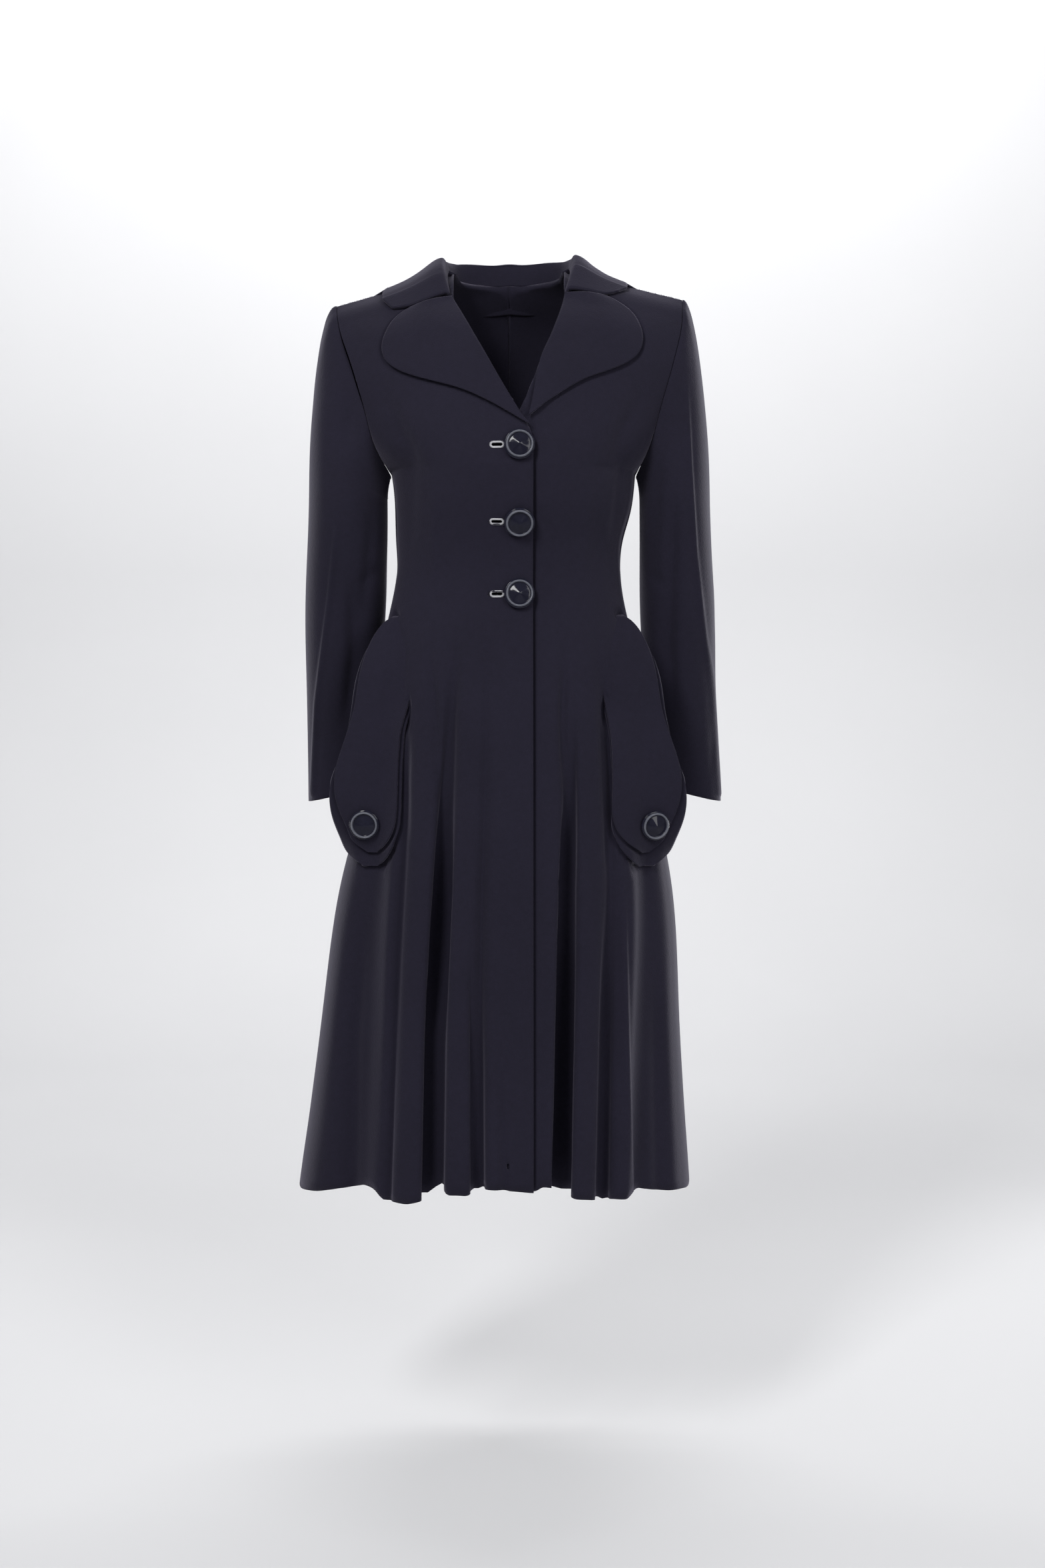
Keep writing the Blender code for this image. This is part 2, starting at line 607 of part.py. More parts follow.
def pocket_layer(name, side, width, length, lift):
    """One layer of a hip pocket."""
    tip, end = POCKET[0].z, POCKET[-1].z
    grid = []
    for down in np.linspace(0, 1, POCKET_ROWS):
        z_bag = tip + (end - tip) * math.sin(down * math.pi / 2)
        z = tip + (z_bag - tip) * length
        row = Pocket(*POCKET_LINE.at(-z_bag))
        here = Pocket(*POCKET_LINE.at(-z))
        inner = (row.seam - here.seam) / (here.reach - here.seam)
        outer = (row.reach - here.seam) / (here.reach - here.seam) * width
        grid.append([on_pocket(side, inner + (outer - inner) * share, z, lift)[0]
                     for share in np.linspace(0, 1, POCKET_COLUMNS)])
    grid = np.array(grid)
    if side == "left":
        grid = grid[::-1]
    return wall(f"{name}_{side}", grid, CLOTH, WOOL)


def button(name, point, normal):
    """One turned button, its back just clear of the cloth."""
    shape = bmesh.new()
    verts = [shape.verts.new((radius, 0, height)) for radius, height in BUTTON_OUTLINE]
    edges = [shape.edges.new(pair) for pair in zip(verts, verts[1:])]
    bmesh.ops.spin(shape, geom=verts + edges, cent=(0, 0, 0), axis=(0, 0, 1), dvec=(0, 0, 0),
                   angle=2 * math.pi, steps=BUTTON_SIDES, use_merge=True, use_duplicate=False)
    bmesh.ops.remove_doubles(shape, verts=shape.verts, dist=STEP / 10)
    bmesh.ops.recalc_face_normals(shape, faces=shape.faces)
    mesh = bpy.data.meshes.new(name)
    shape.to_mesh(mesh)
    shape.free()
    thing = add_object(name, mesh, GLOSS)
    thing.location = Vector(point + normal * BUTTON_SHANK)
    thing.rotation_euler = Vector(normal).to_track_quat("Z", "Y").to_euler()
    return thing


def seated(point, normal, rim):
    """A button's place, on the highest point of the cloth under it."""
    return point + normal * max(0.0, *[np.dot(place - point, normal) for place in rim])


def pocket_button(side):
    """The button on a pocket's upper layer."""
    out, z = POCKET_BUTTON
    row = Pocket(*POCKET_LINE.at(-z))
    aside = BUTTON_REACH / (row.reach - row.seam)
    point, normal = on_pocket(side, out, z, FLAP_LIFT)
    rim = [on_pocket(side, out + step, z, FLAP_LIFT)[0] for step in (aside, -aside)]
    rim += [on_pocket(side, out, z + step, FLAP_LIFT)[0] for step in (BUTTON_REACH, -BUTTON_REACH)]
    return button(f"button_pocket_{side}", seated(point, normal, rim), normal)


def front_button(number, z):
    """A button on the right front."""
    point, normal = on_cloth(BUTTON_X, z)
    rim = [on_cloth(BUTTON_X, z + step)[0] for step in (BUTTON_REACH, -BUTTON_REACH)]
    return button(f"button_front_{number}", seated(point, normal, rim), normal)


for old in list(bpy.data.objects):
    bpy.data.objects.remove(old)
COAT = bpy.data.objects.new("coat", None)
bpy.context.scene.collection.objects.link(COAT)

right_front = body_panel("front", "right")
body_panel("front", "left")
body_panel("back", "right")
body_panel("back", "left")
for wearer_side in SIGN:
    sleeve(wearer_side)
    lapel(wearer_side)
    pocket_layer("pocket_bag", wearer_side, 1.0, 1.0, 0.0)
    pocket_layer("pocket_flap", wearer_side, FLAP_WIDTH, FLAP_LENGTH, FLAP_LIFT)
    pocket_button(wearer_side)
collar()
for order, button_z in enumerate(BUTTON_HEIGHTS, start=1):
    front_button(order, button_z)
    buttonhole(right_front, order, button_z)
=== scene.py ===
# %% [markdown]
# # A wool coat, dressed for its portrait
# The coat is a fitted one of dark wool crepe, with a wide collar, rounded lapels, hip pockets and a
# flared skirt that falls in deep folds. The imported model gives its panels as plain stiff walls. This
# lesson lays smooth cloth over those walls, adds the creases and the sewing, turns the buttons finely
# and lights the whole softly.

import math

import bmesh
import bpy
import numpy as np
from mathutils import Matrix, Vector
from mathutils.bvhtree import BVHTree
from mathutils.geometry import intersect_point_line
from mathutils.kdtree import KDTree


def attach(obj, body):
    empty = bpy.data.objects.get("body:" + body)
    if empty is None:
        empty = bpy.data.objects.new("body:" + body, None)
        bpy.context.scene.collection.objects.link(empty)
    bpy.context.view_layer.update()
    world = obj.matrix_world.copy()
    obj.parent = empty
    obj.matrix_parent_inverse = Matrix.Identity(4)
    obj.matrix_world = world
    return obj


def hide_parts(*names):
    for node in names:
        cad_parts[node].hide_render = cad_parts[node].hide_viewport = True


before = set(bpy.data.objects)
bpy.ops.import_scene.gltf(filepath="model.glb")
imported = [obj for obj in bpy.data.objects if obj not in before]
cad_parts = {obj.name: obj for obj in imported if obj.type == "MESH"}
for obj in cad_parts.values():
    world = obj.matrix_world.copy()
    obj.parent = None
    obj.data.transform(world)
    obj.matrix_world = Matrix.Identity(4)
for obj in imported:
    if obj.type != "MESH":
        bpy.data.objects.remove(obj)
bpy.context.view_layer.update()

# %% [markdown]
# ## Camera
# The photograph was taken from about the height of the coat's waist, nearly two and a half metres away,
# with a lens that sees as an eye does. A shifted lens could put the coat in the upper part of the frame
# as it is there. A camera that is turned down a little does nearly the same, and suits other views too.

# %% Camera
FRAME_WIDTH = 1568
FRAME_HEIGHT = 2352
FOCAL_PIXELS = 2927
SENSOR = 0.036
CAMERA_PLACE = (0.0, -2.4, -0.3895)
CAMERA_DOWN = math.radians(4.82)
CAMERA_ASIDE = math.radians(0.39)

camera = bpy.data.objects.new("camera", bpy.data.cameras.new("camera"))
bpy.context.collection.objects.link(camera)
camera.data.sensor_fit = "VERTICAL"
camera.data.sensor_width = SENSOR * 1000
camera.data.sensor_height = SENSOR * 1000
camera.data.lens = SENSOR * 1000 * FOCAL_PIXELS / FRAME_HEIGHT
camera.location = CAMERA_PLACE
camera.rotation_euler = (math.pi / 2 - CAMERA_DOWN, 0, -CAMERA_ASIDE)
bpy.context.scene.camera = camera
print("lens", round(camera.data.lens, 1), "mm")

# %% [markdown]
# ## Floor
# The coat hangs as it is worn, so the pale floor lies a third of a metre below its hem. A plane and a
# wall would meet in a hard line behind the coat. One profile that curves up into a backdrop, and is
# pulled sideways, keeps that line out of the picture.

# %% Floor
FLOOR = -1.45
FLOOR_HALF = 6.0
FLOOR_FRONT = -7.0
BACKDROP_Y = 2.2
BACKDROP_TURN = 1.2
BACKDROP_RISE = 5.0
BACKDROP_STEPS = 12


def pale_floor():
    """A floor with a quarter turn up into a backdrop, drawn as one profile and pulled sideways."""
    shape = bmesh.new()
    line = [(FLOOR_FRONT, FLOOR), (BACKDROP_Y, FLOOR)]
    for step in range(1, BACKDROP_STEPS + 1):
        angle = math.pi / 2 * step / BACKDROP_STEPS
        line.append((BACKDROP_Y + BACKDROP_TURN * math.sin(angle),
                     FLOOR + BACKDROP_TURN * (1 - math.cos(angle))))
    line.append((BACKDROP_Y + BACKDROP_TURN, BACKDROP_RISE))
    verts = [shape.verts.new((-FLOOR_HALF, y, z)) for y, z in line]
    edges = [shape.edges.new(pair) for pair in zip(verts, verts[1:])]
    pulled = bmesh.ops.extrude_edge_only(shape, edges=edges)["geom"]
    moved = [item for item in pulled if isinstance(item, bmesh.types.BMVert)]
    bmesh.ops.translate(shape, verts=moved, vec=(2 * FLOOR_HALF, 0, 0))
    bmesh.ops.recalc_face_normals(shape, faces=shape.faces[:])
    mesh = bpy.data.meshes.new("floor")
    shape.to_mesh(mesh)
    shape.free()
    mesh.shade_smooth()
    floor = bpy.data.objects.new("floor", mesh)
    bpy.context.collection.objects.link(floor)
    return floor


floor = pale_floor()
print("floor at", FLOOR)

# %% [markdown]
# ## Light
# Dark wool swallows light, and a small lamp would leave it black with hard shadows. So the lamps are
# large and soft: one from the front left, a weaker one from the right, two strips from behind that draw
# a thin bright rim along the sleeves, and one that whitens the backdrop. The strips' beams are narrowed,
# so that they spill little light on the floor.

# %% Lights
LAMPS = (
    # name, place, aimed at, width, height, watts
    ("key", (-1.3, -2.5, 1.6), (0, 0, -0.4), 0.7, 1.2, 74),
    ("fill", (1.8, -2.7, 0.7), (0, 0, -0.5), 1.2, 1.8, 42),
    ("rim_left", (-1.7, 1.3, -0.3), (-0.15, 0, -0.3), 0.5, 1.9, 6),
    ("rim_right", (1.7, 1.3, -0.3), (0.15, 0, -0.3), 0.5, 1.9, 12),
    ("backdrop", (0, 1.1, 2.6), (0, 3.4, 0.9), 3.6, 0.8, 150),
)

for name, place, aim, width, height, watts in LAMPS:
    lamp = bpy.data.objects.new(name, bpy.data.lights.new(name, "AREA"))
    bpy.context.collection.objects.link(lamp)
    lamp.data.shape = "RECTANGLE"
    lamp.data.size = width
    lamp.data.size_y = height
    lamp.data.energy = watts
    lamp.location = place
    lamp.rotation_euler = (Vector(aim) - Vector(place)).to_track_quat("-Z", "Y").to_euler()

RIM_SPREAD = math.radians(70)
STUDIO_TINT = (0.93, 0.94, 0.96, 1)
STUDIO_STRENGTH = 0.48

for name in ("rim_left", "rim_right"):
    bpy.data.lights[name].spread = RIM_SPREAD

world = bpy.data.worlds.new("studio")
world.use_nodes = True
world.node_tree.nodes["Background"].inputs["Color"].default_value = STUDIO_TINT
world.node_tree.nodes["Background"].inputs["Strength"].default_value = STUDIO_STRENGTH
bpy.context.scene.world = world
bpy.context.scene.view_settings.view_transform = "Standard"
print("lamps:", len(LAMPS))

# %% [markdown]
# ## Writing shaders as sums
# A shader is a small sum over the surface. Its nodes could be added and linked one by one, but a sum
# reads more clearly as plain Python. The class below wraps one socket and gives it arithmetic, and its
# method node adds any other kind of node.

# %% Sockets with arithmetic


class Socket:
    """One output of a material's node tree, with arithmetic."""

    def __init__(self, tree, output=None):
        self.tree = tree
        self.output = output

    def node(self, kind, settings=None, inputs=None, output=0):
        """Adds a node: its type, its settings, its inputs' values or links, and which output it gives."""
        made = self.tree.nodes.new("ShaderNode" + kind)
        for name, value in (settings or {}).items():
            setattr(made, name, value)
        for name, value in (inputs or {}).items():
            if isinstance(value, Socket):
                self.tree.links.new(value.output, made.inputs[name])
            else:
                made.inputs[name].default_value = value
        return Socket(self.tree, made.outputs[output])

    def maths(self, operation, first, second):
        """Adds a Math node for two values or sockets."""
        return self.node("Math", {"operation": operation}, {0: first, 1: second})

    def __add__(self, other):
        return self.maths("ADD", self, other)

    def __radd__(self, other):
        return self.maths("ADD", other, self)

    def __sub__(self, other):
        return self.maths("SUBTRACT", self, other)

    def __rsub__(self, other):
        return self.maths("SUBTRACT", other, self)

    def __mul__(self, other):
        return self.maths("MULTIPLY", self, other)

    def __rmul__(self, other):
        return self.maths("MULTIPLY", other, self)


print("a socket can be added, taken away and multiplied")

# %% [markdown]
# ## Starting a material
# Every finish here starts from Blender's own Principled shader, because its sheen suits wool and its
# coat suits a moulded button. Two small helpers make such a material and link a sum to its shader.

# %% New materials


def new_material(name):
    """A material with its Principled shader, and a start for its sums."""
    material = bpy.data.materials.new(name)
    material.use_nodes = True
    tree = material.node_tree
    shader = tree.nodes["Principled BSDF"]
    return material, Socket(tree), shader


def feed(shader, name, socket):
    """Links a sum to one of a shader's inputs."""
    socket.tree.links.new(socket.output, shader.inputs[name])


print("materials start from the Principled shader")

# %% [markdown]
# ## Floor paint
# Floor and backdrop are matt white paper. One flat colour would do, but a trace of slow unevenness
# keeps so large a surface from looking empty.

# %% Floor paint
PAPER_DARK = (0.55, 0.55, 0.56, 1)
PAPER_LIGHT = (0.59, 0.59, 0.60, 1)

paper, start, shader = new_material("paper")
shade = start.node("TexNoise", {}, {"Vector": start.node("TexCoord", output="Object"), "Scale": 1.3})
pale = start.node("Mix", {"data_type": "RGBA"},
                  {"Factor": shade, 6: PAPER_DARK, 7: PAPER_LIGHT}, 2)
feed(shader, "Base Color", pale)
shader.inputs["Roughness"].default_value = 0.9
floor.data.materials.append(paper)
print("paper")

# %% [markdown]
# ## Wool crepe
# Crepe is woven from hard-twisted yarn that shrinks unevenly, so its face is a fine dry pebble with no
# clear weave. Close to, it is a mottle of blue-black and near-black grains about a millimetre across.
# Crossing threads could be drawn, but crepe hides them, so noise suits it better: two sizes of noise and
# a cell pattern make the pebble, and a slow cloudy noise fades the colour as years of wear do. The fine
# pale fuzz that glows at the edges is the shader's own sheen.

# %% Wool
WOOL_DARK = (0.0052, 0.0045, 0.0094, 1)
WOOL_LIGHT = (0.0148, 0.0130, 0.0258, 1)


def wool_crepe(name, dark, light):
    """Matt crepe: pebbled, mottled, a little faded in clouds."""
    material, start, shader = new_material(name)
    place = start.node("TexCoord", output="Object")
    grain = start.node("TexNoise", {}, {"Vector": place, "Scale": 620.0, "Detail": 3.0,
                                        "Roughness": 0.6})
    pebble = start.node("TexVoronoi", {"feature": "SMOOTH_F1"},
                        {"Vector": place, "Scale": 760.0, "Smoothness": 0.6})
    cloud = start.node("TexNoise", {}, {"Vector": place, "Scale": 9.0, "Detail": 4.0,
                                        "Roughness": 0.55})
    slub = start.node("TexNoise", {}, {"Vector": place, "Scale": 150.0, "Detail": 2.0})
    mottle = grain * 0.55 + slub * 0.25 + cloud * 0.45 - 0.12
    color = start.node("Mix", {"data_type": "RGBA"}, {"Factor": mottle, 6: dark, 7: light}, 2)
    feed(shader, "Base Color", color)
    feed(shader, "Roughness", 0.82 + 0.14 * grain)
    height = grain * 0.6 + pebble * 0.7 + slub * 0.5
    bump = start.node("Bump", {}, {"Strength": 0.55, "Distance": 0.0006, "Height": height})
    feed(shader, "Normal", bump)
    shader.inputs["Specular IOR Level"].default_value = 0.15
    shader.inputs["Sheen Weight"].default_value = 0.11
    shader.inputs["Sheen Roughness"].default_value = 0.45
    shader.inputs["Sheen Tint"].default_value = (0.82, 0.76, 1.0, 1)
    return material


wool = wool_crepe("wool_crepe", WOOL_DARK, WOOL_LIGHT)
print("wool")

# %% [markdown]
# ## Buttons' finishes
# The buttons are moulded in a glossy blue-black with faint streaks, and their raised ring is a paler
# grey that is rubbed duller. Both are one finish with other colours and roughness, so one function
# makes them. The pale thread of the buttonholes is the wool's finish in other colours.

# %% Button finishes


def moulded(name, dark, light, roughness):
    """Glossy moulded stuff with faint streaks and rubbed places."""
    material, start, shader = new_material(name)
    place = start.node("TexCoord", output="Object")
    streak = start.node("TexNoise", {}, {"Vector": place, "Scale": 180.0, "Detail": 3.0,
                                         "Distortion": 1.2})
    rub = start.node("TexNoise", {}, {"Vector": place, "Scale": 900.0, "Detail": 2.0})
    color = start.node("Mix", {"data_type": "RGBA"}, {"Factor": streak, 6: dark, 7: light}, 2)
    feed(shader, "Base Color", color)
    feed(shader, "Roughness", roughness + 0.10 * rub)
    bump = start.node("Bump", {}, {"Strength": 0.04, "Distance": 0.0001, "Height": rub})
    feed(shader, "Normal", bump)
    shader.inputs["Specular IOR Level"].default_value = 0.14
    shader.inputs["Coat Weight"].default_value = 0.10
    shader.inputs["Coat Roughness"].default_value = 0.05
    return material


gloss = moulded("button_gloss", (0.004, 0.004, 0.009, 1), (0.010, 0.010, 0.022, 1), 0.05)
ring_grey = moulded("button_ring", (0.065, 0.068, 0.085, 1), (0.13, 0.135, 0.16, 1), 0.26)
thread = wool_crepe("thread", (0.34, 0.34, 0.36, 1), (0.60, 0.60, 0.62, 1))
print("button finishes and thread")

# %% [markdown]
# ## From stiff wall to cloth
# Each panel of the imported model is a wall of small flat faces: an outer sheet, an inner sheet and a
# narrow rim. A ray sent inwards from a face crosses the cloth's thickness in a sheet and a long way in
# the rim, which tells them apart. Without its rim the wall falls into separate sheets. Each is gathered
# by walking from face to face, and the outer one is the one that faces away from the coat's middle most.

# %% Separate sheets


def islands(shape):
    """The mesh's separate sheets, as lists of faces."""
    left = set(shape.faces)
    found = []
    while left:
        seed = left.pop()
        sheet, front = [seed], [seed]
        while front:
            face = front.pop()
            for edge in face.edges:
                for other in edge.link_faces:
                    if other in left:
                        left.remove(other)
                        sheet.append(other)
                        front.append(other)
        found.append(sheet)
    return found


def outward(faces):
    """How much a sheet faces away from the upright line through the coat's middle."""
    return sum(face.calc_area() * face.normal.xy.dot(face.calc_center_median().xy) for face in faces)


print("sheets are gathered face by face")

# %% [markdown]
# ## Outer sheet
# A new sheet could be drawn over each panel, but the panel's own points fit better. So its rim and its
# inner sheet are taken away. The triangles that are left are joined into quads, because a subdivision
# surface smooths quads more evenly.

# %% Outer sheet
CLOTH = 0.002
DOUBLE = 0.003
MERGE = 0.00002
SHEET_ACROSS, SHEET_FACING = 1.9, -0.7
RIM_NARROW, RIM_EXACT = 1.6, 0.012


def outer_sheet(node, thickness):
    """The outer sheet of a packed panel, as quads."""
    shape = bmesh.new()
    shape.from_mesh(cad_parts[node].data)
    bmesh.ops.remove_doubles(shape, verts=shape.verts[:], dist=MERGE)
    shape.normal_update()
    tree = BVHTree.FromBMesh(shape)
    rim = []
    for face in shape.faces:
        start = face.calc_center_median() - face.normal * MERGE
        _, facing, _, across = tree.ray_cast(start, -face.normal)
        short = min(edge.calc_length() for edge in face.edges) / thickness
        backed = (facing is not None and across < SHEET_ACROSS * thickness
                  and facing.dot(face.normal) < SHEET_FACING)
        exact = thickness == DOUBLE and abs(short - 1) < RIM_EXACT
        if exact or (short < RIM_NARROW and not backed):
            rim.append(face)
    bmesh.ops.delete(shape, geom=rim, context="FACES")
    sheets = sorted(islands(shape), key=outward)
    kept = set(sheets[-1])
    spare = [face for face in shape.faces if face not in kept]
    bmesh.ops.delete(shape, geom=spare, context="FACES")
    border = [edge for edge in shape.edges if edge.is_boundary]
    bmesh.ops.holes_fill(shape, edges=border, sides=3)
    bmesh.ops.join_triangles(shape, faces=shape.faces[:], angle_face_threshold=math.pi,
                             angle_shape_threshold=math.pi)
    quads = sum(len(face.verts) == 4 for face in shape.faces)
    print(node, "sheets", len(sheets), "rim", len(rim), "faces", len(shape.faces), "quads", quads)
    return shape


print("cloth is", CLOTH, "metres thick, and", DOUBLE, "where it is doubled")

# %% [markdown]
# ## Smooth cloth
# A subdivision surface turns the flat faces into soft cloth, but it pulls a surface in from its points.
# So the points are first pushed out by what they lose, three times over, and the smooth cloth passes
# through the panel's own points. The result is kept as a plain mesh, because the creases need its points.

# %% Smooth cloth
PUSH_ROUNDS = 3


def evaluated_points(thing):
    """The points of an object's mesh after its modifiers."""
    mesh = thing.evaluated_get(bpy.context.evaluated_depsgraph_get()).data
    points = np.empty(len(mesh.vertices) * 3)
    mesh.vertices.foreach_get("co", points)
    return points.reshape(-1, 3)


def smooth_cloth(node, thickness, levels):
    """A smooth sheet through the points of a panel's outer sheet."""
    name = node + "_cloth"
    shape = outer_sheet(node, thickness)
    mesh = bpy.data.meshes.new(name)
    shape.to_mesh(mesh)
    shape.free()
    mesh.shade_smooth()
    cloth = bpy.data.objects.new(name, mesh)
    bpy.context.collection.objects.link(cloth)
    rounding = cloth.modifiers.new("rounding", "SUBSURF")
    rounding.levels = levels
    rounding.render_levels = levels
    rounding.boundary_smooth = "PRESERVE_CORNERS"
    goal = np.array([vert.co for vert in mesh.vertices])
    points = goal.copy()
    for _ in range(PUSH_ROUNDS):
        points += goal - evaluated_points(cloth)[:len(goal)]
        mesh.vertices.foreach_set("co", points.ravel())
        mesh.update()
    rounded = cloth.evaluated_get(bpy.context.evaluated_depsgraph_get())
    smooth = bpy.data.meshes.new_from_object(rounded)
    cloth.modifiers.clear()
    cloth.data = smooth
    bpy.data.meshes.remove(mesh)
    smooth.name = name
    return cloth


print("points are pushed out", PUSH_ROUNDS, "times")

# %% [markdown]
# ## From cloth to picture
# Creases are easiest to draw over the picture, where they can be seen. Blender has a helper that says
# where a point appears, but it goes by the size of Blender's own render. So the camera's sum is written
# out: turn the point into the camera's own directions, and divide by how far away it is.

# %% Places in the picture
CAMERA_TURN = np.array(camera.rotation_euler.to_matrix())


def in_picture(points):
    """Where points of the cloth appear, in pixels of the whole picture."""
    seen = (points - np.array(CAMERA_PLACE)) @ CAMERA_TURN
    scale = FOCAL_PIXELS / -seen[:, 2]
    across = FRAME_WIDTH / 2 + seen[:, 0] * scale
    down = FRAME_HEIGHT / 2 - seen[:, 1] * scale
    return np.stack([across, down], axis=1)


print("the base of the neck appears at", in_picture(np.zeros((1, 3)))[0].round())

# %% [markdown]
# ## Lines
# A crease is drawn as a short chain of straight lines. For each point of the cloth, its distance from
# the chain, its side and its share of the way along are found, nearest line first. A smooth step fades
# a crease in and out, because a straight ramp would leave a kink at each end.

# %% Lines


def beside_line(spots, line):
    """How far spots lie from a drawn line, on which side, and how far along it."""
    line = np.array(line, float)
    steps = np.linalg.norm(line[1:] - line[:-1], axis=1)
    far = np.full(len(spots), 1e6)
    side = np.zeros(len(spots))
    along = np.zeros(len(spots))
    for number, (first, second) in enumerate(zip(line, line[1:])):
        way = second - first
        share = np.clip((spots - first) @ way / (way @ way), 0, 1)
        off = spots - first - share[:, None] * way
        gap = np.linalg.norm(off, axis=1)
        nearer = gap < far
        far[nearer] = gap[nearer]
        side[nearer] = np.sign(way[0] * off[nearer, 1] - way[1] * off[nearer, 0])
        along[nearer] = (steps[:number].sum() + share[nearer] * steps[number]) / steps.sum()
    return far, side, along


def ease(share):
    """A smooth step from 0 to 1."""
    share = np.clip(share, 0, 1)
    return share * share * (3 - 2 * share)


print("a smooth step a quarter of the way:", ease(0.25))

# %% [markdown]
# ## Creases
# Wool that is worn folds where it is bent or gathered, and no two folds are alike: some start at the
# hip and deepen down to the hem, some die away half way. A cloth simulation could fold it, but its folds
# would fall where they like. Each crease here is a drawn line, in its own width, depth and fade, and
# every point of the cloth is moved in or out along its normal by how near it lies to the line. Many
# troughs are steeper on one side, as the cloth leans over them.

# %% Drawing creases
EDGE_ON = 0.05


def draw_creases(cloth, creases):
    """Moves a sheet's points in and out along its normals, by the creases drawn over it."""
    mesh = cloth.data
    count = len(mesh.vertices)
    points = np.empty(count * 3)
    normals = np.empty(count * 3)
    mesh.vertices.foreach_get("co", points)
    mesh.vertex_normals.foreach_get("vector", normals)
    points = points.reshape(-1, 3)
    normals = normals.reshape(-1, 3)
    spots = in_picture(points)
    move = np.zeros(count)
    for facing, width, lean, depth, start, end, line in creases:
        far, side, along = beside_line(spots, line)
        reach = width * (1 + lean * side)
        fade = ease(along / start) if start else 1.0
        fade = fade * (ease((1 - along) / end) if end else 1.0)
        seen = normals[:, 1] * facing > EDGE_ON
        move += depth * fade * np.exp(-(far / reach) ** 2) * seen
    points += normals * move[:, None]
    mesh.vertices.foreach_set("co", points.ravel())
    mesh.update()
    print(cloth.name, "creases", len(creases), "from", round(move.min(), 4), "to", round(move.max(), 4))


print("creases are drawn on a picture of", FRAME_WIDTH, "by", FRAME_HEIGHT)

# %% [markdown]
# ## Skirt and bodice
# Two deep troughs run from the hip to the hem beside the lap, with lesser ones between and beside them,
# and soft hollows lie below the arms. The picture doesn't show the back, so folds of the same kind are
# drawn there, each in its own place and depth. Copying the front's would give two folds that are alike.

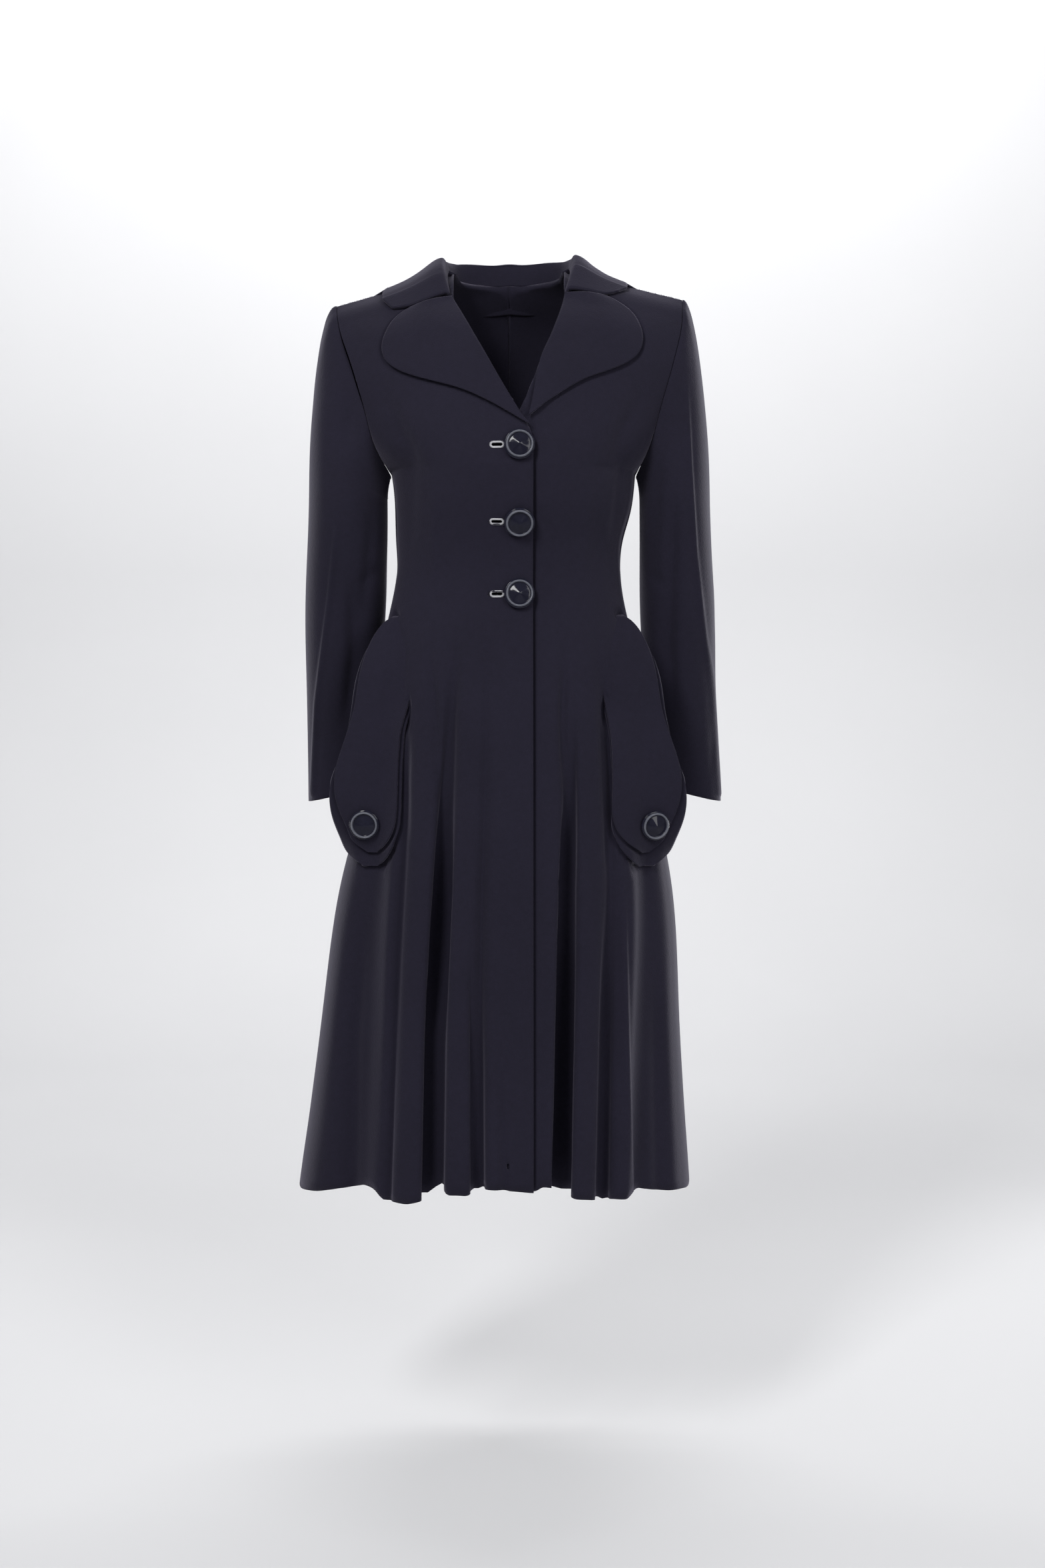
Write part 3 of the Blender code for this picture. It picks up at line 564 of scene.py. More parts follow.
# %% Skirt and bodice creases
FRONT, BACK = -1, 1
BODY_CREASES = (
    # facing, width in pixels, lean, depth in metres, share to fade in, share to fade out, drawn line
    (FRONT, 9, 0.25, -0.034, 0.7, 0,
     ((689, 940), (684, 1010), (676, 1077), (670, 1185), (666, 1337), (655, 1560), (652, 1810))),
    (FRONT, 9, -0.3, -0.011, 0.3, 0, ((616, 1003), (603, 1164), (598, 1294), (590, 1450), (574, 1810))),
    (FRONT, 7, 0.2, -0.005, 0.4, 0.4, ((644, 950), (648, 1000), (652, 1068), (657, 1164), (662, 1230))),
    (FRONT, 8, -0.3, -0.008, 0.5, 0, ((703, 1380), (707, 1450), (712, 1600), (714, 1810))),
    (FRONT, 8, -0.25, -0.030, 0.7, 0,
     ((868, 960), (865, 1010), (861, 1068), (854, 1207), (848, 1337), (843, 1560), (838, 1810))),
    (FRONT, 6, 0.2, -0.004, 0.4, 0.4, ((849, 960), (847, 1020), (845, 1077), (848, 1150), (852, 1210))),
    (FRONT, 8, 0.2, -0.009, 0.4, 0.3,
     ((906, 1000), (912, 1080), (917, 1160), (920, 1240), (916, 1320))),
    (FRONT, 15, 0.0, -0.004, 0.4, 0.5, ((585, 610), (600, 655), (620, 695), (650, 722))),
    (FRONT, 13, 0.0, -0.003, 0.4, 0.5, ((952, 610), (936, 655), (920, 690), (896, 716))),
    (FRONT, 8, 0.3, -0.008, 0.5, 0, ((911, 1230), (914, 1330), (912, 1500), (906, 1810))),
    (FRONT, 5, 0.4, 0.004, 0.3, 0, ((934, 1290), (937, 1342), (941, 1560), (946, 1810))),
    (FRONT, 14, 0.2, -0.008, 0.5, 0, ((552, 1310), (540, 1430), (530, 1560), (526, 1800))),
    (FRONT, 12, -0.2, -0.005, 0.6, 0, ((981, 1380), (986, 1560), (990, 1800))),
    (FRONT, 6, 0.3, -0.003, 0.5, 0, ((745, 1520), (752, 1640), (760, 1810))),
    (FRONT, 20, 0.2, -0.004, 0.3, 0.4, ((606, 650), (614, 720), (612, 800), (604, 880))),
    (FRONT, 16, -0.2, -0.004, 0.3, 0.4, ((940, 640), (934, 720), (926, 800), (922, 870))),
    (FRONT, 12, 0.0, -0.0025, 0.4, 0.5, ((560, 560), (585, 610), (600, 650), (640, 690))),
    (FRONT, 12, 0.0, -0.0025, 0.4, 0.5, ((975, 560), (955, 610), (930, 650), (895, 684))),
    (FRONT, 9, 0.2, 0.0015, 0.4, 0.4, ((655, 700), (650, 800), (652, 900))),
    (FRONT, 9, -0.2, 0.0015, 0.4, 0.4, ((885, 690), (880, 800), (878, 900))),
    (BACK, 12, 0.25, -0.016, 0.5, 0, ((640, 960), (632, 1100), (622, 1300), (610, 1540), (602, 1810))),
    (BACK, 10, -0.25, -0.012, 0.5, 0, ((700, 990), (697, 1130), (690, 1330), (684, 1560), (678, 1810))),
    (BACK, 11, 0.2, -0.014, 0.5, 0, ((822, 980), (827, 1140), (836, 1330), (846, 1560), (852, 1810))),
    (BACK, 12, -0.2, -0.012, 0.5, 0, ((886, 1000), (893, 1150), (905, 1340), (922, 1560), (934, 1810))),
    (BACK, 10, 0.2, -0.006, 0.5, 0, ((560, 1180), (545, 1380), (532, 1580), (524, 1810))),
    (BACK, 10, -0.2, -0.006, 0.5, 0, ((968, 1240), (978, 1420), (988, 1600), (996, 1810))),
    (BACK, 16, 0.0, -0.003, 0.4, 0.4, ((640, 560), (660, 640), (668, 730), (664, 840))),
    (BACK, 16, 0.0, -0.003, 0.4, 0.4, ((880, 555), (864, 640), (856, 730), (858, 840))),
    (BACK, 14, 0.0, -0.003, 0.4, 0.4, ((610, 850), (680, 872), (760, 868), (840, 876))),
    (BACK, 12, 0.0, 0.003, 0.4, 0.4, ((650, 900), (720, 905), (800, 898), (870, 908))),
)

cloths = {}
for node in ("front_right", "front_left", "back_right", "back_left"):
    cloths[node] = smooth_cloth(node, CLOTH, 3)
    draw_creases(cloths[node], BODY_CREASES)

# %% [markdown]
# ## Hem's line
# A hem that hangs in folds isn't level in the picture: each ridge comes forward and down, and each
# trough goes back and up. A level cut would look like a board's edge. So the hem's line is drawn over
# the picture too, and this step measures how far each front's own hem lies from it.

# %% Hem's line
HEM_LINE = ((430, 1784), (475, 1786), (515, 1782), (545, 1777), (562, 1784), (574, 1800), (609, 1807),
            (636, 1803), (648, 1780), (660, 1780), (670, 1793), (704, 1795), (714, 1785), (757, 1786),
            (800, 1790), (814, 1781), (844, 1783), (856, 1799), (900, 1801), (942, 1799), (956, 1782),
            (1001, 1785), (1055, 1780))
HEM_ABOVE = 1700
HEM_STEP = 4
HEM_BLUR = 1


def border_points(cloth):
    """The points along a sheet's edges."""
    shape = bmesh.new()
    shape.from_mesh(cloth.data)
    found = [vert.index for vert in shape.verts if vert.is_boundary]
    shape.free()
    return found


def blurred(values, steps):
    """A row of values, smoothed over some steps to each side."""
    weights = np.exp(-(np.arange(-3 * steps, 3 * steps + 1) / steps) ** 2)
    return np.convolve(np.pad(values, 3 * steps, mode="edge"), weights / weights.sum(), mode="valid")


def hem_drop(cloth, line):
    """How far a front's hem lies from the drawn line, in pixels, along the picture's width."""
    spots = in_picture(np.array([vert.co for vert in cloth.data.vertices]))[border_points(cloth)]
    spots = spots[spots[:, 1] > HEM_ABOVE]
    columns = np.arange(spots[:, 0].min(), spots[:, 0].max(), HEM_STEP)
    lowest = [spots[abs(spots[:, 0] - column) < 2 * HEM_STEP, 1].max() for column in columns]
    lowest = blurred(np.array(lowest), HEM_BLUR)
    goal = blurred(np.interp(columns, *np.array(line, float).T), HEM_BLUR)
    return columns, lowest, goal - lowest


hems = {side: hem_drop(cloths["front_" + side], HEM_LINE) for side in ("right", "left")}
for side, (_, _, drop) in hems.items():
    print("hem of the", side, "front is off by up to", round(abs(drop).max(), 1), "pixels")

# %% [markdown]
# ## Hem
# The lowest hand's breadth of cloth is drawn down or up to the line, most at the hem itself. The backs
# follow the fronts at the side seams, and the shift fades out behind them, so that no seam opens.

# %% Hem
HEM_REACH = 150
SEAM_FADE = 0.07
PIXEL = 0.00078


def draw_hem(cloth, columns, lowest, drop):
    """Draws the lowest part of a panel to the hem's line, less and less behind the side seam."""
    points = np.array([vert.co for vert in cloth.data.vertices])
    spots = in_picture(points)
    above = np.interp(spots[:, 0], columns, lowest) - spots[:, 1]
    share = ease(1 - above / HEM_REACH) * ease(1 - points[:, 1] / SEAM_FADE)
    move = share * np.interp(spots[:, 0], columns, drop) * PIXEL
    points[:, 2] -= move
    cloth.data.vertices.foreach_set("co", points.ravel())
    cloth.data.update()
    print(cloth.name, "hem moved by", round(move.min(), 4), "to", round(move.max(), 4))


for side, corner in (("right", slice(0, 1)), ("left", slice(-1, None))):
    columns, lowest, drop = hems[side]
    draw_hem(cloths["front_" + side], columns, lowest, drop)
    draw_hem(cloths["back_" + side], columns[corner], lowest[corner], drop[corner])

# %% [markdown]
# ## Sleeves
# The sleeves hang from padded shoulders and bend a little at the elbow. A pressed crease runs down the
# front of each, fine and sharp, with a soft hollow beside it where the cloth falls in. They are drawn
# as the skirt's folds are, with the back's added as well.

# %% Sleeves
SLEEVE_CREASES = (
    (FRONT, 4, 0.3, 0.0024, 0.2, 0,
     ((1030, 554), (1036, 695), (1044, 830), (1058, 956), (1068, 1012), (1072, 1069), (1079, 1190))),
    (FRONT, 14, 0.2, -0.007, 0.3, 0.3,
     ((1010, 700), (1010, 760), (1008, 830), (1005, 900), (1002, 970), (1008, 1040), (1024, 1097))),
    (FRONT, 10, 0.0, -0.003, 0.4, 0.4, ((990, 640), (984, 740), (978, 840), (980, 930))),
    (FRONT, 4, -0.3, 0.0024, 0.2, 0,
     ((507, 760), (500, 830), (493, 900), (486, 956), (479, 1012), (474, 1055), (468, 1190))),
    (FRONT, 13, -0.2, -0.006, 0.3, 0.3, ((526, 860), (530, 928), (532, 984), (524, 1055), (512, 1110))),
    (FRONT, 15, 0.0, -0.005, 0.3, 0.3, ((510, 470), (524, 540), (528, 592), (522, 650), (519, 700))),
    (FRONT, 9, 0.0, -0.003, 0.4, 0.4, ((560, 730), (556, 820), (548, 900), (540, 960))),
    (FRONT, 7, 0.0, -0.0025, 0.4, 0.5, ((575, 845), (552, 868), (530, 880))),
    (FRONT, 7, 0.0, -0.0025, 0.4, 0.5, ((966, 850), (985, 872), (1008, 884))),
    (BACK, 13, 0.0, -0.005, 0.3, 0.3, ((512, 640), (518, 760), (522, 860), (516, 960))),
    (BACK, 12, 0.0, -0.005, 0.3, 0.3, ((1020, 630), (1014, 750), (1012, 860), (1022, 980))),
    (BACK, 8, 0.2, -0.004, 0.4, 0.4, ((478, 862), (505, 878), (540, 868), (570, 880))),
    (BACK, 8, -0.2, -0.003, 0.4, 0.4, ((484, 905), (515, 918), (548, 906))),
    (BACK, 8, 0.2, -0.004, 0.4, 0.4, ((1056, 858), (1030, 876), (1000, 866), (972, 880))),
    (BACK, 8, -0.2, -0.003, 0.4, 0.4, ((1050, 908), (1022, 920), (990, 910))),
)

for node in ("sleeve_right", "sleeve_left"):
    cloths[node] = smooth_cloth(node, CLOTH, 3)
    draw_creases(cloths[node], SLEEVE_CREASES)

# %% [markdown]
# ## Collar
# The collar is doubled cloth that stands up from the neck and folds over. Its fold runs in one even
# sweep from side to side round the back of the neck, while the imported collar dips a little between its
# sections. A new collar could be swept along a curve, but it is simpler to fill out the dips.

# %% Collar
FOLD_DIP = 0.0060
FOLD_DIP_AT = math.radians(38)
FOLD_DIP_WIDTH = math.radians(22)
FALL_RISE = 0.0095
FALL_RISE_WIDTH = math.radians(30)
FALL_EDGE, FOLD_TOP = -0.005, 0.040
NECK_ROUND, FALL_OUT = 0.068, 0.008


def even_fold(cloth):
    """Fills out the dips in the collar's fold, at both sides of the back, and levels its edge behind."""
    moved = []
    for vert in cloth.data.vertices:
        turn = abs(math.atan2(vert.co.x, vert.co.y))
        high = ease((vert.co.z - FALL_EDGE) / (FOLD_TOP - FALL_EDGE))
        outside = ease((vert.co.xy.length - NECK_ROUND) / FALL_OUT)
        lift = FOLD_DIP * high * math.exp(-((turn - FOLD_DIP_AT) / FOLD_DIP_WIDTH) ** 2)
        drop = FALL_RISE * (1 - high) * outside * math.exp(-(turn / FALL_RISE_WIDTH) ** 2)
        vert.co.z += lift - drop
        moved.append(lift - drop)
    cloth.data.update()
    print(cloth.name, "moved by", round(min(moved), 4), "to", round(max(moved), 4))


cloths["collar"] = smooth_cloth("collar", DOUBLE, 3)
even_fold(cloths["collar"])

# %% [markdown]
# ## Lapels
# The lapels are doubled too and lie flat on the fronts. The left one runs to a point that slips under
# the right front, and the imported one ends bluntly. Its end is drawn out along the front that it lies
# on, because a point that is only pulled in the picture's plane would float or sink.

# %% Lapels
LAPEL_END = ((820, 606), (793, 584))
LAPEL_POINT = ((-7, 2), (0, 38))
LAPEL_REACH = 60


def surface_depth(tree, place):
    """How far back a surface lies behind a place, seen from the front."""
    hit = tree.ray_cast(Vector((place.x, -1, place.z)), Vector((0, 1, 0)))[0]
    return (hit or tree.find_nearest(place)[0]).y


def draw_point(cloth, under):
    """Draws a lapel's blunt lower end out to a point, along the front that it lies on."""
    shape = bmesh.new()
    shape.from_mesh(under.data)
    tree = BVHTree.FromBMesh(shape)
    shape.free()
    spots = in_picture(np.array([vert.co for vert in cloth.data.vertices]))
    far, _, along = beside_line(spots, LAPEL_END)
    pull = ease(1 - far / LAPEL_REACH)
    first, second = np.array(LAPEL_POINT, float)
    moves = (first + along[:, None] * (second - first)) * pull[:, None] * PIXEL
    for vert, (aside, down) in zip(cloth.data.vertices, moves):
        if aside or down:
            old = surface_depth(tree, vert.co)
            vert.co += Vector((aside, 0, -down))
            vert.co.y += surface_depth(tree, vert.co) - old
    cloth.data.update()
    print(cloth.name, "drawn out by up to", round(abs(moves).max(), 4))


for node in ("lapel_right", "lapel_left"):
    cloths[node] = smooth_cloth(node, DOUBLE, 3)
draw_point(cloths["lapel_left"], cloths["front_left"])

# %% [markdown]
# ## Pockets
# Each hip pocket is two layers, the upper one a little smaller, so that a band of the lower one shows
# round it. At its top front the pocket grows out of the front without an edge. The two could be joined
# into one mesh, but tucking that edge in with a wide trough hides it as well and keeps the pieces apart.

# %% Pockets
POCKET_CREASES = (
    (FRONT, 24, 0.0, -0.011, 0, 0.35,
     ((584, 892), (598, 916), (617, 967), (615, 1009), (606, 1066), (600, 1110))),
    (FRONT, 24, 0.0, -0.011, 0, 0.35,
     ((940, 894), (927, 916), (909, 967), (906, 1025), (911, 1080), (915, 1120))),
)

for node in ("pocket_bag_right", "pocket_bag_left", "pocket_flap_right", "pocket_flap_left"):
    cloths[node] = smooth_cloth(node, CLOTH, 3)
    draw_creases(cloths[node], POCKET_CREASES)

# %% [markdown]
# ## Seams
# Two panels that meet at a seam are joined edge to edge, with a fine groove where the stitches pull the
# cloth in. A groove painted in a bump would vanish at the outline, so the edges' own points are moved.

# %% Seams
SEAM_REACH = 0.005
SEAM_GROOVE = 0.0008


def border_tree(cloth):
    """A sheet's edge points, ready for a search."""
    border = border_points(cloth)
    tree = KDTree(len(border))
    for index in border:
        tree.insert(cloth.data.vertices[index].co, index)
    tree.balance()
    return border, tree


def sew(first, second):
    """Joins two sheets' edges where they lie side by side, in a fine groove."""
    border, tree = border_tree(first)
    _, other_tree = border_tree(second)
    pairs = []
    for index in border:
        other_place, other, gap = other_tree.find(first.data.vertices[index].co)
        if gap < SEAM_REACH and tree.find(other_place)[1] == index:
            pairs.append((index, other))
    for index, other in pairs:
        inward = first.data.vertex_normals[index].vector + second.data.vertex_normals[other].vector
        place = (first.data.vertices[index].co + second.data.vertices[other].co) / 2
        place -= inward.normalized() * SEAM_GROOVE
        first.data.vertices[index].co = place
        second.data.vertices[other].co = place
    print(first.name, "sewn to", second.name, "at", len(pairs), "points")


SEWN = (("back_right", "back_left"), ("front_right", "back_right"), ("front_left", "back_left"))
for first, second in SEWN:
    sew(cloths[first], cloths[second])

# %% [markdown]
# ## Neck seam
# The back is sewn into the collar round the neck. The two edges have different numbers of points, so
# they can't be paired. Each point of the back's edge goes to the nearest place on the collar's edge.

# %% Neck seam
NECK_REACH = 0.016
NECK_ABOVE = -0.02


def meet_edge(cloth, target):
    """Draws the neck edge of a panel up to the nearest edge of the collar."""
    shape = bmesh.new()
    shape.from_mesh(target.data)
    ends = [[vert.co.copy() for vert in edge.verts] for edge in shape.edges if edge.is_boundary]
    shape.free()
    gaps = []
    for index in border_points(cloth):
        vert = cloth.data.vertices[index]
        if vert.co.z > NECK_ABOVE:
            places = [intersect_point_line(vert.co, *pair) for pair in ends]
            places = [a + (b - a) * min(max(share, 0), 1) for (_, share), (a, b) in zip(places, ends)]
            place = min(places, key=lambda spot: (spot - vert.co).length)
            gap = (place - vert.co).length
            if gap < NECK_REACH:
                vert.co = place
                gaps.append(gap)
    cloth.data.update()
    widest = round(max(gaps, default=0), 4)
    print(cloth.name, "joined to", target.name, "at", len(gaps), "points, widest", widest)


for node in ("back_right", "back_left"):
    meet_edge(cloths[node], cloths["collar"])

# %% [markdown]
# ## Shadow lines
# Where a piece lies on another, as a lapel does on a front, a soft line of shadow shows along its edge.
# It could be painted dark, but then it would stay when the light changes. So the lower piece is pressed
# in along the upper one's edge, and the light makes the line.

# %% Shadow lines
LAID_ON = (
    # lower piece, piece that lies on it, reach and depth in metres
    ("front_right", "lapel_right", 0.0065, 0.0040),
    ("front_left", "lapel_left", 0.0065, 0.0040),
    ("front_left", "front_right", 0.0070, 0.0045),
    ("front_right", "collar", 0.0060, 0.0030),
    ("front_left", "collar", 0.0060, 0.0030),
    ("front_right", "pocket_bag_right", 0.0080, 0.0050),
    ("front_left", "pocket_bag_left", 0.0080, 0.0050),
    ("pocket_bag_right", "pocket_flap_right", 0.0065, 0.0036),
    ("pocket_bag_left", "pocket_flap_left", 0.0065, 0.0036),
)
PRESS_FLAT = 1.6


def press_under(lower, upper, reach, depth):
    """Presses a sheet in along the edge of the piece that lies on it."""
    _, tree = border_tree(upper)
    pressed = {}
    for vert, normal in zip(lower.data.vertices, lower.data.vertex_normals):
        gap = tree.find(vert.co)[2]
        if gap < reach:
            pressed[vert.index] = vert.co - normal.vector * depth * ease(PRESS_FLAT * (1 - gap / reach))
    for index, place in pressed.items():
        lower.data.vertices[index].co = place
    lower.data.update()
    print(lower.name, "pressed under", upper.name, "at", len(pressed), "points")


for lower, upper, reach, depth in LAID_ON:
    press_under(cloths[lower], cloths[upper], reach, depth)

# %% [markdown]
# ## A worn hole
# Near the hem of the right front a small hole has worn through. A dark or clear patch in the material
# would do from far away, but a real hole has an edge with thickness. A few small faces are taken out,
# and the points round them are drawn to an oval.

# %% Worn hole
HOLE_PLACE = (762, 1750)
HOLE_ACROSS, HOLE_ALONG = 2.6, 4.8
HOLE_FINE = 2.2
HOLE_CUTS = 3


def wear_hole(cloth):
    """Takes a few faces out of a sheet and rounds the gap."""
    shape = bmesh.new()
    shape.from_mesh(cloth.data)
    middle, axes = np.array(HOLE_PLACE), np.array((HOLE_ACROSS, HOLE_ALONG))

    def close_faces(reach):
        centres = in_picture(np.array([face.calc_center_median() for face in shape.faces]))
        away = np.linalg.norm((centres - middle) / axes, axis=1)
        return [face for face, far in zip(shape.faces[:], away) if far < reach]

    edges = list({edge for face in close_faces(HOLE_FINE) for edge in face.edges})
    bmesh.ops.subdivide_edges(shape, edges=edges, cuts=HOLE_CUTS, use_grid_fill=True)
    worn = close_faces(1)
    rim = {vert for face in worn for vert in face.verts}
    bmesh.ops.delete(shape, geom=worn, context="FACES")
    rim = [vert for vert in rim if vert.is_valid]
    spots = in_picture(np.array([vert.co for vert in rim]))
    for vert, spot in zip(rim, spots):
        way = (spot - middle) / axes
        goal = middle + axes * way / np.linalg.norm(way)
        vert.co += Vector((goal[0] - spot[0], 0, spot[1] - goal[1])) * PIXEL
    shape.to_mesh(cloth.data)
    shape.free()
    print(cloth.name, "worn hole:", len(worn), "faces out,", len(rim), "points round it")


wear_hole(cloths["front_right"])

# %% [markdown]
# ## Thickness and area
# The sheets get their thickness last, from a Solidify modifier, because one sheet is easier to shape
# than two. Before it was sewn, each piece was flat. For each piece, the count of its points and the
# area that shows are printed.

# %% Thickness and area
DOUBLED = ("collar", "lapel_right", "lapel_left")


def finish_cloth(cloth, node, thickness):
    """Gives a sheet its thickness, its finish and its body, and measures the area that shows."""
    wall = cloth.modifiers.new("thickness", "SOLIDIFY")
    wall.thickness = thickness
    wall.offset = -1
    wall.use_even_offset = False
    cloth.data.materials.clear()
    cloth.data.materials.append(wool)
    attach(cloth, "root")
    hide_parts(node)
    cut = sum(face.area for face in cloth.data.polygons)
    print(cloth.name, "points", len(cloth.data.vertices), "area that shows", round(cut, 4))


for node, cloth in cloths.items():
    finish_cloth(cloth, node, DOUBLE if node in DOUBLED else CLOTH)

# %% [markdown]
# ## Buttonholes
# A worked buttonhole is a slit whose edges are covered by close stitches in a strong pale thread. The
# slits are small beside the panel's faces, so smoothing bends their edges. The cloth is laid flat round
# each slit again, on the plane that fits the cloth about it best, and what crosses the slit is cleared.

# %% Slits
SLIT_X, SLIT_HALF, SLIT_ROUND = -0.014, 0.0072, 0.0026
SLIT_HEIGHTS = (-0.188, -0.276, -0.3595)
SLIT_OVAL = (0.012, 0.007)
SLIT_NEAR, SLIT_FLAT, SLIT_SOFT = 2.0, 1.5, 0.4
CLEAR_HALF, CLEAR_ROUND = 0.9 * SLIT_HALF, 0.8 * SLIT_ROUND


def from_slit(place, height):
    """How far a place lies from a slit's middle, where 1 is an oval round the slit."""
    return math.hypot((place.x - SLIT_X) / SLIT_OVAL[0], (place.z - height) / SLIT_OVAL[1])


def open_slits(cloth):
    """Lays the cloth flat round each slit and clears the slit itself."""
    shape = bmesh.new()
    shape.from_mesh(cloth.data)
    cleared = []
    for height in SLIT_HEIGHTS:
        front = [vert for vert in shape.verts if vert.co.y < 0]
        near = [vert for vert in front if from_slit(vert.co, height) < SLIT_NEAR]
        ring = np.array([vert.co for vert in near if from_slit(vert.co, height) > SLIT_FLAT])
        spread = np.column_stack([np.ones(len(ring)), ring[:, 0], ring[:, 2]])
        level, aside, up = np.linalg.lstsq(spread, ring[:, 1], rcond=None)[0]
        for vert in near:
            flat = level + aside * vert.co.x + up * vert.co.z
            share = ease((SLIT_FLAT - from_slit(vert.co, height)) / SLIT_SOFT)
            vert.co.y += (flat - vert.co.y) * share
        for face in {face for vert in near for face in vert.link_faces}:
            middle = face.calc_center_median()
            if abs(middle.x - SLIT_X) < CLEAR_HALF and abs(middle.z - height) < CLEAR_ROUND:
                cleared.append(face)
    bmesh.ops.delete(shape, geom=cleared, context="FACES")
    shape.to_mesh(cloth.data)
    shape.free()
    print(cloth.name, "slits opened, faces cleared:", len(cleared))


open_slits(cloths["front_right"])

# %% [markdown]
# ## Round a slit
# A slit's outline is two straight sides with round ends. The stitches need places on it at even steps.
# A curve object could give them, but two straight lines and two half circles are a short sum.

# %% Round a slit
STITCHES = 48


def around_slit(share):
    """A place on the slit's outline, two straight sides with round ends, and its outward direction."""
    straight = 2 * (SLIT_HALF - SLIT_ROUND)
    turn = math.pi * SLIT_ROUND
    way = share * 2 * (straight + turn)
    side = 1 if way < straight + turn else -1
    way %= straight + turn
    if way < straight:
        return Vector((side * (straight / 2 - way), 0, side * SLIT_ROUND)), Vector((0, 0, side))
    angle = math.pi / 2 + (way - straight) / SLIT_ROUND
    out = Vector((math.cos(angle), 0, math.sin(angle))) * side
    return Vector((-side * straight / 2, 0, 0)) + out * SLIT_ROUND, out


step_between = (around_slit(1 / STITCHES)[0] - around_slit(0)[0]).length
print("stitches lie", round(step_between, 5), "metres apart")

# %% [markdown]
# ## Stitches
# Each stitch is a small long bead that lies across the slit's edge. A ring of thread would be simpler,
# but a worked edge is ribbed. So a loop lays the beads round the slit, square to its outline and flat on
# the cloth, and all three rings make one piece.

# %% Stitches
STITCH_LONG, STITCH_WIDE, STITCH_THICK = 0.0030, 0.0008, 0.0010


def worked_buttonholes(cloth):
    """The stitches round the three slits, as one piece."""
    shape = bmesh.new()
    shape.from_mesh(cloth.data)
    tree = BVHTree.FromBMesh(shape)
    shape.clear()
    edge = np.array([cloth.data.vertices[index].co for index in border_points(cloth)])
    for height in SLIT_HEIGHTS:
        beside = abs(edge[:, 0] - SLIT_X) < 2 * SLIT_HALF
        slit = edge[beside & (abs(edge[:, 2] - height) < SLIT_HALF)]
        middle = Vector((slit.min(axis=0) + slit.max(axis=0)) / 2)
        normal = Vector(np.linalg.svd(slit - slit.mean(axis=0))[2][2])
        normal *= -math.copysign(1, normal.y)
        print("slit at", middle.to_tuple(4), "facing", normal.to_tuple(2))
        for step in range(STITCHES):
            place, out = around_slit(step / STITCHES)
            across = (out - normal * out.dot(normal)).normalized()
            place = middle + (place - normal * place.dot(normal))
            place.y = min(place.y, surface_depth(tree, place)) - STITCH_THICK / 3
            along = normal.cross(across)
            sides = (across * STITCH_LONG, along * STITCH_WIDE, normal * STITCH_THICK)
            turn = Matrix(sides).transposed().to_4x4()
            seat = Matrix.Translation(place + across * STITCH_WIDE / 2) @ turn
            bmesh.ops.create_uvsphere(shape, u_segments=6, v_segments=4, radius=0.5, matrix=seat)
    mesh = bpy.data.meshes.new("buttonhole_stitches")
    shape.to_mesh(mesh)
    shape.free()
    mesh.shade_smooth()
    mesh.materials.append(thread)
    stitches = bpy.data.objects.new(mesh.name, mesh)
    bpy.context.collection.objects.link(stitches)
    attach(stitches, "root")
    print(mesh.name, "stitches", STITCHES * len(SLIT_HEIGHTS), "faces", len(mesh.polygons))


worked_buttonholes(cloths["front_right"])

# %% [markdown]
# ## Buttons' axes
# Three buttons close the lap and one sits on each pocket. Each is set on the axis of the plain button in
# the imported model, so that it lies on the cloth as that one does. The axis could be typed in, but it is
# safer to measure it: it is the direction in which the flat disc is thinnest.

# %% Buttons' axes


def button_axis(node):
    """The tip of a packed button's cone and the direction it points in."""
    points = np.array([vert.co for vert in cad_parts[node].data.vertices])
    points = np.unique(points.round(6), axis=0)
    middle = points.mean(axis=0)
    axis = np.linalg.svd(points - middle)[2][2]
    high = (points - middle) @ axis
    if high.max() < -high.min():
        axis, high = -axis, -high
    return Vector(points[high.argmax()]), Vector(axis)


axes = {node: button_axis(node) for node in sorted(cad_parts) if node.startswith("button")}
for node, (tip, axis) in axes.items():
    print(node, "tip", tip.to_tuple(4), "axis", axis.to_tuple(2))

# %% [markdown]
# ## Buttons
# Each button is a low cone in a groove, a raised ring round it and a thin flange behind. Cones and rings
# could be stacked, but one profile, drawn as a chain of points and spun a full turn, has no hidden faces.
# The ring's faces take the paler finish.

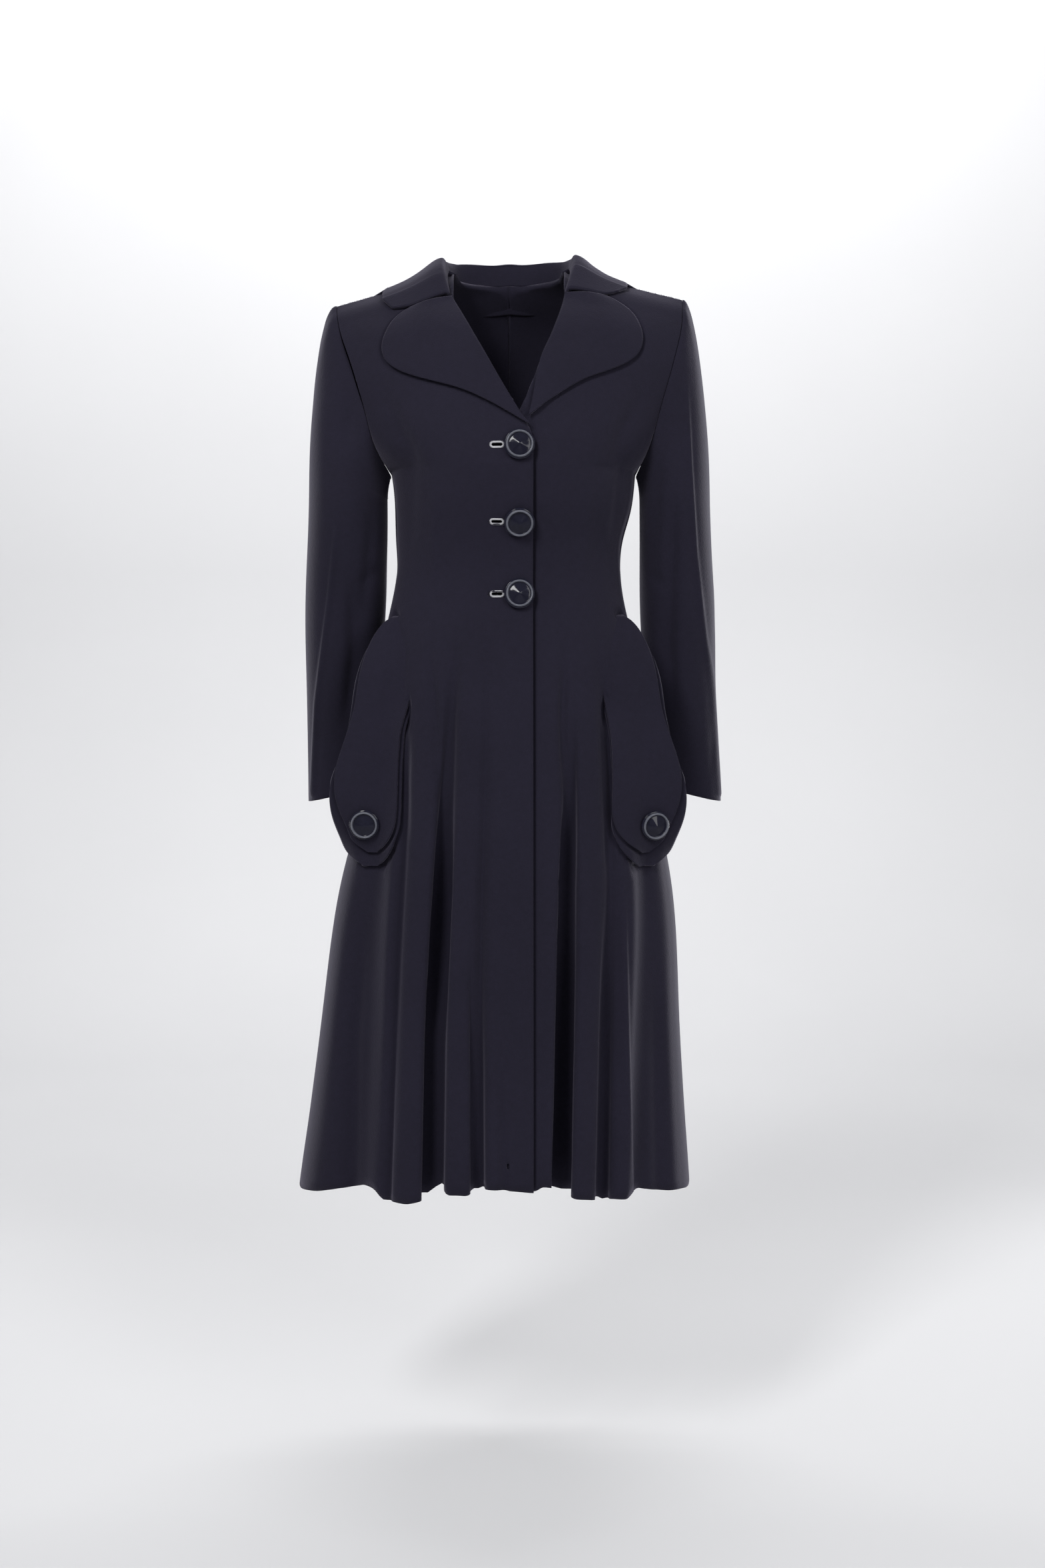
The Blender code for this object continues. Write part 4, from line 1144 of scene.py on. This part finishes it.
# %% Buttons
BUTTON_PROFILE = (
    # out from the axis and up from the back, in metres
    (0.0000, 0.0088), (0.0010, 0.0085), (0.0040, 0.0074), (0.0080, 0.0058), (0.0112, 0.0046),
    (0.0124, 0.0042), (0.0130, 0.0042), (0.0134, 0.0048), (0.0137, 0.0060), (0.0141, 0.0066),
    (0.0147, 0.0068), (0.0153, 0.0066), (0.0157, 0.0060), (0.0160, 0.0048), (0.0163, 0.0040),
    (0.0168, 0.0038), (0.0176, 0.0036), (0.0180, 0.0029), (0.0180, 0.0018), (0.0175, 0.0008),
    (0.0166, 0.0001), (0.0150, 0.0000), (0.0040, 0.0000), (0.0034, -0.0008), (0.0000, -0.0008),
)
RING_FROM, RING_TO, RING_ABOVE = 0.0134, 0.0160, 0.0049
BUTTON_TURNS = 72


def turned_button(node, tip, axis):
    """One button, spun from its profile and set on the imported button's axis."""
    shape = bmesh.new()
    verts = [shape.verts.new((radius, 0, height)) for radius, height in BUTTON_PROFILE]
    edges = [shape.edges.new(pair) for pair in zip(verts, verts[1:])]
    bmesh.ops.spin(shape, geom=verts + edges, cent=(0, 0, 0), axis=(0, 0, 1), dvec=(0, 0, 0),
                   angle=2 * math.pi, steps=BUTTON_TURNS, use_merge=True, use_duplicate=False)
    bmesh.ops.remove_doubles(shape, verts=shape.verts[:], dist=MERGE / 10)
    bmesh.ops.recalc_face_normals(shape, faces=shape.faces[:])
    for face in shape.faces:
        place = face.calc_center_median()
        if RING_FROM < place.xy.length < RING_TO and place.z > RING_ABOVE:
            face.material_index = 1
    turn = axis.to_track_quat("Z", "Y").to_matrix()
    bmesh.ops.rotate(shape, verts=shape.verts[:], cent=(0, 0, 0), matrix=turn)
    bmesh.ops.translate(shape, verts=shape.verts[:], vec=tip - axis * BUTTON_PROFILE[0][1])
    mesh = bpy.data.meshes.new(node + "_turned")
    shape.to_mesh(mesh)
    shape.free()
    mesh.shade_smooth()
    mesh.materials.append(gloss)
    mesh.materials.append(ring_grey)
    button = bpy.data.objects.new(mesh.name, mesh)
    bpy.context.collection.objects.link(button)
    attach(button, "root")
    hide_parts(node)
    print(button.name, "faces", len(mesh.polygons))


for node, (tip, axis) in axes.items():
    turned_button(node, tip, axis)
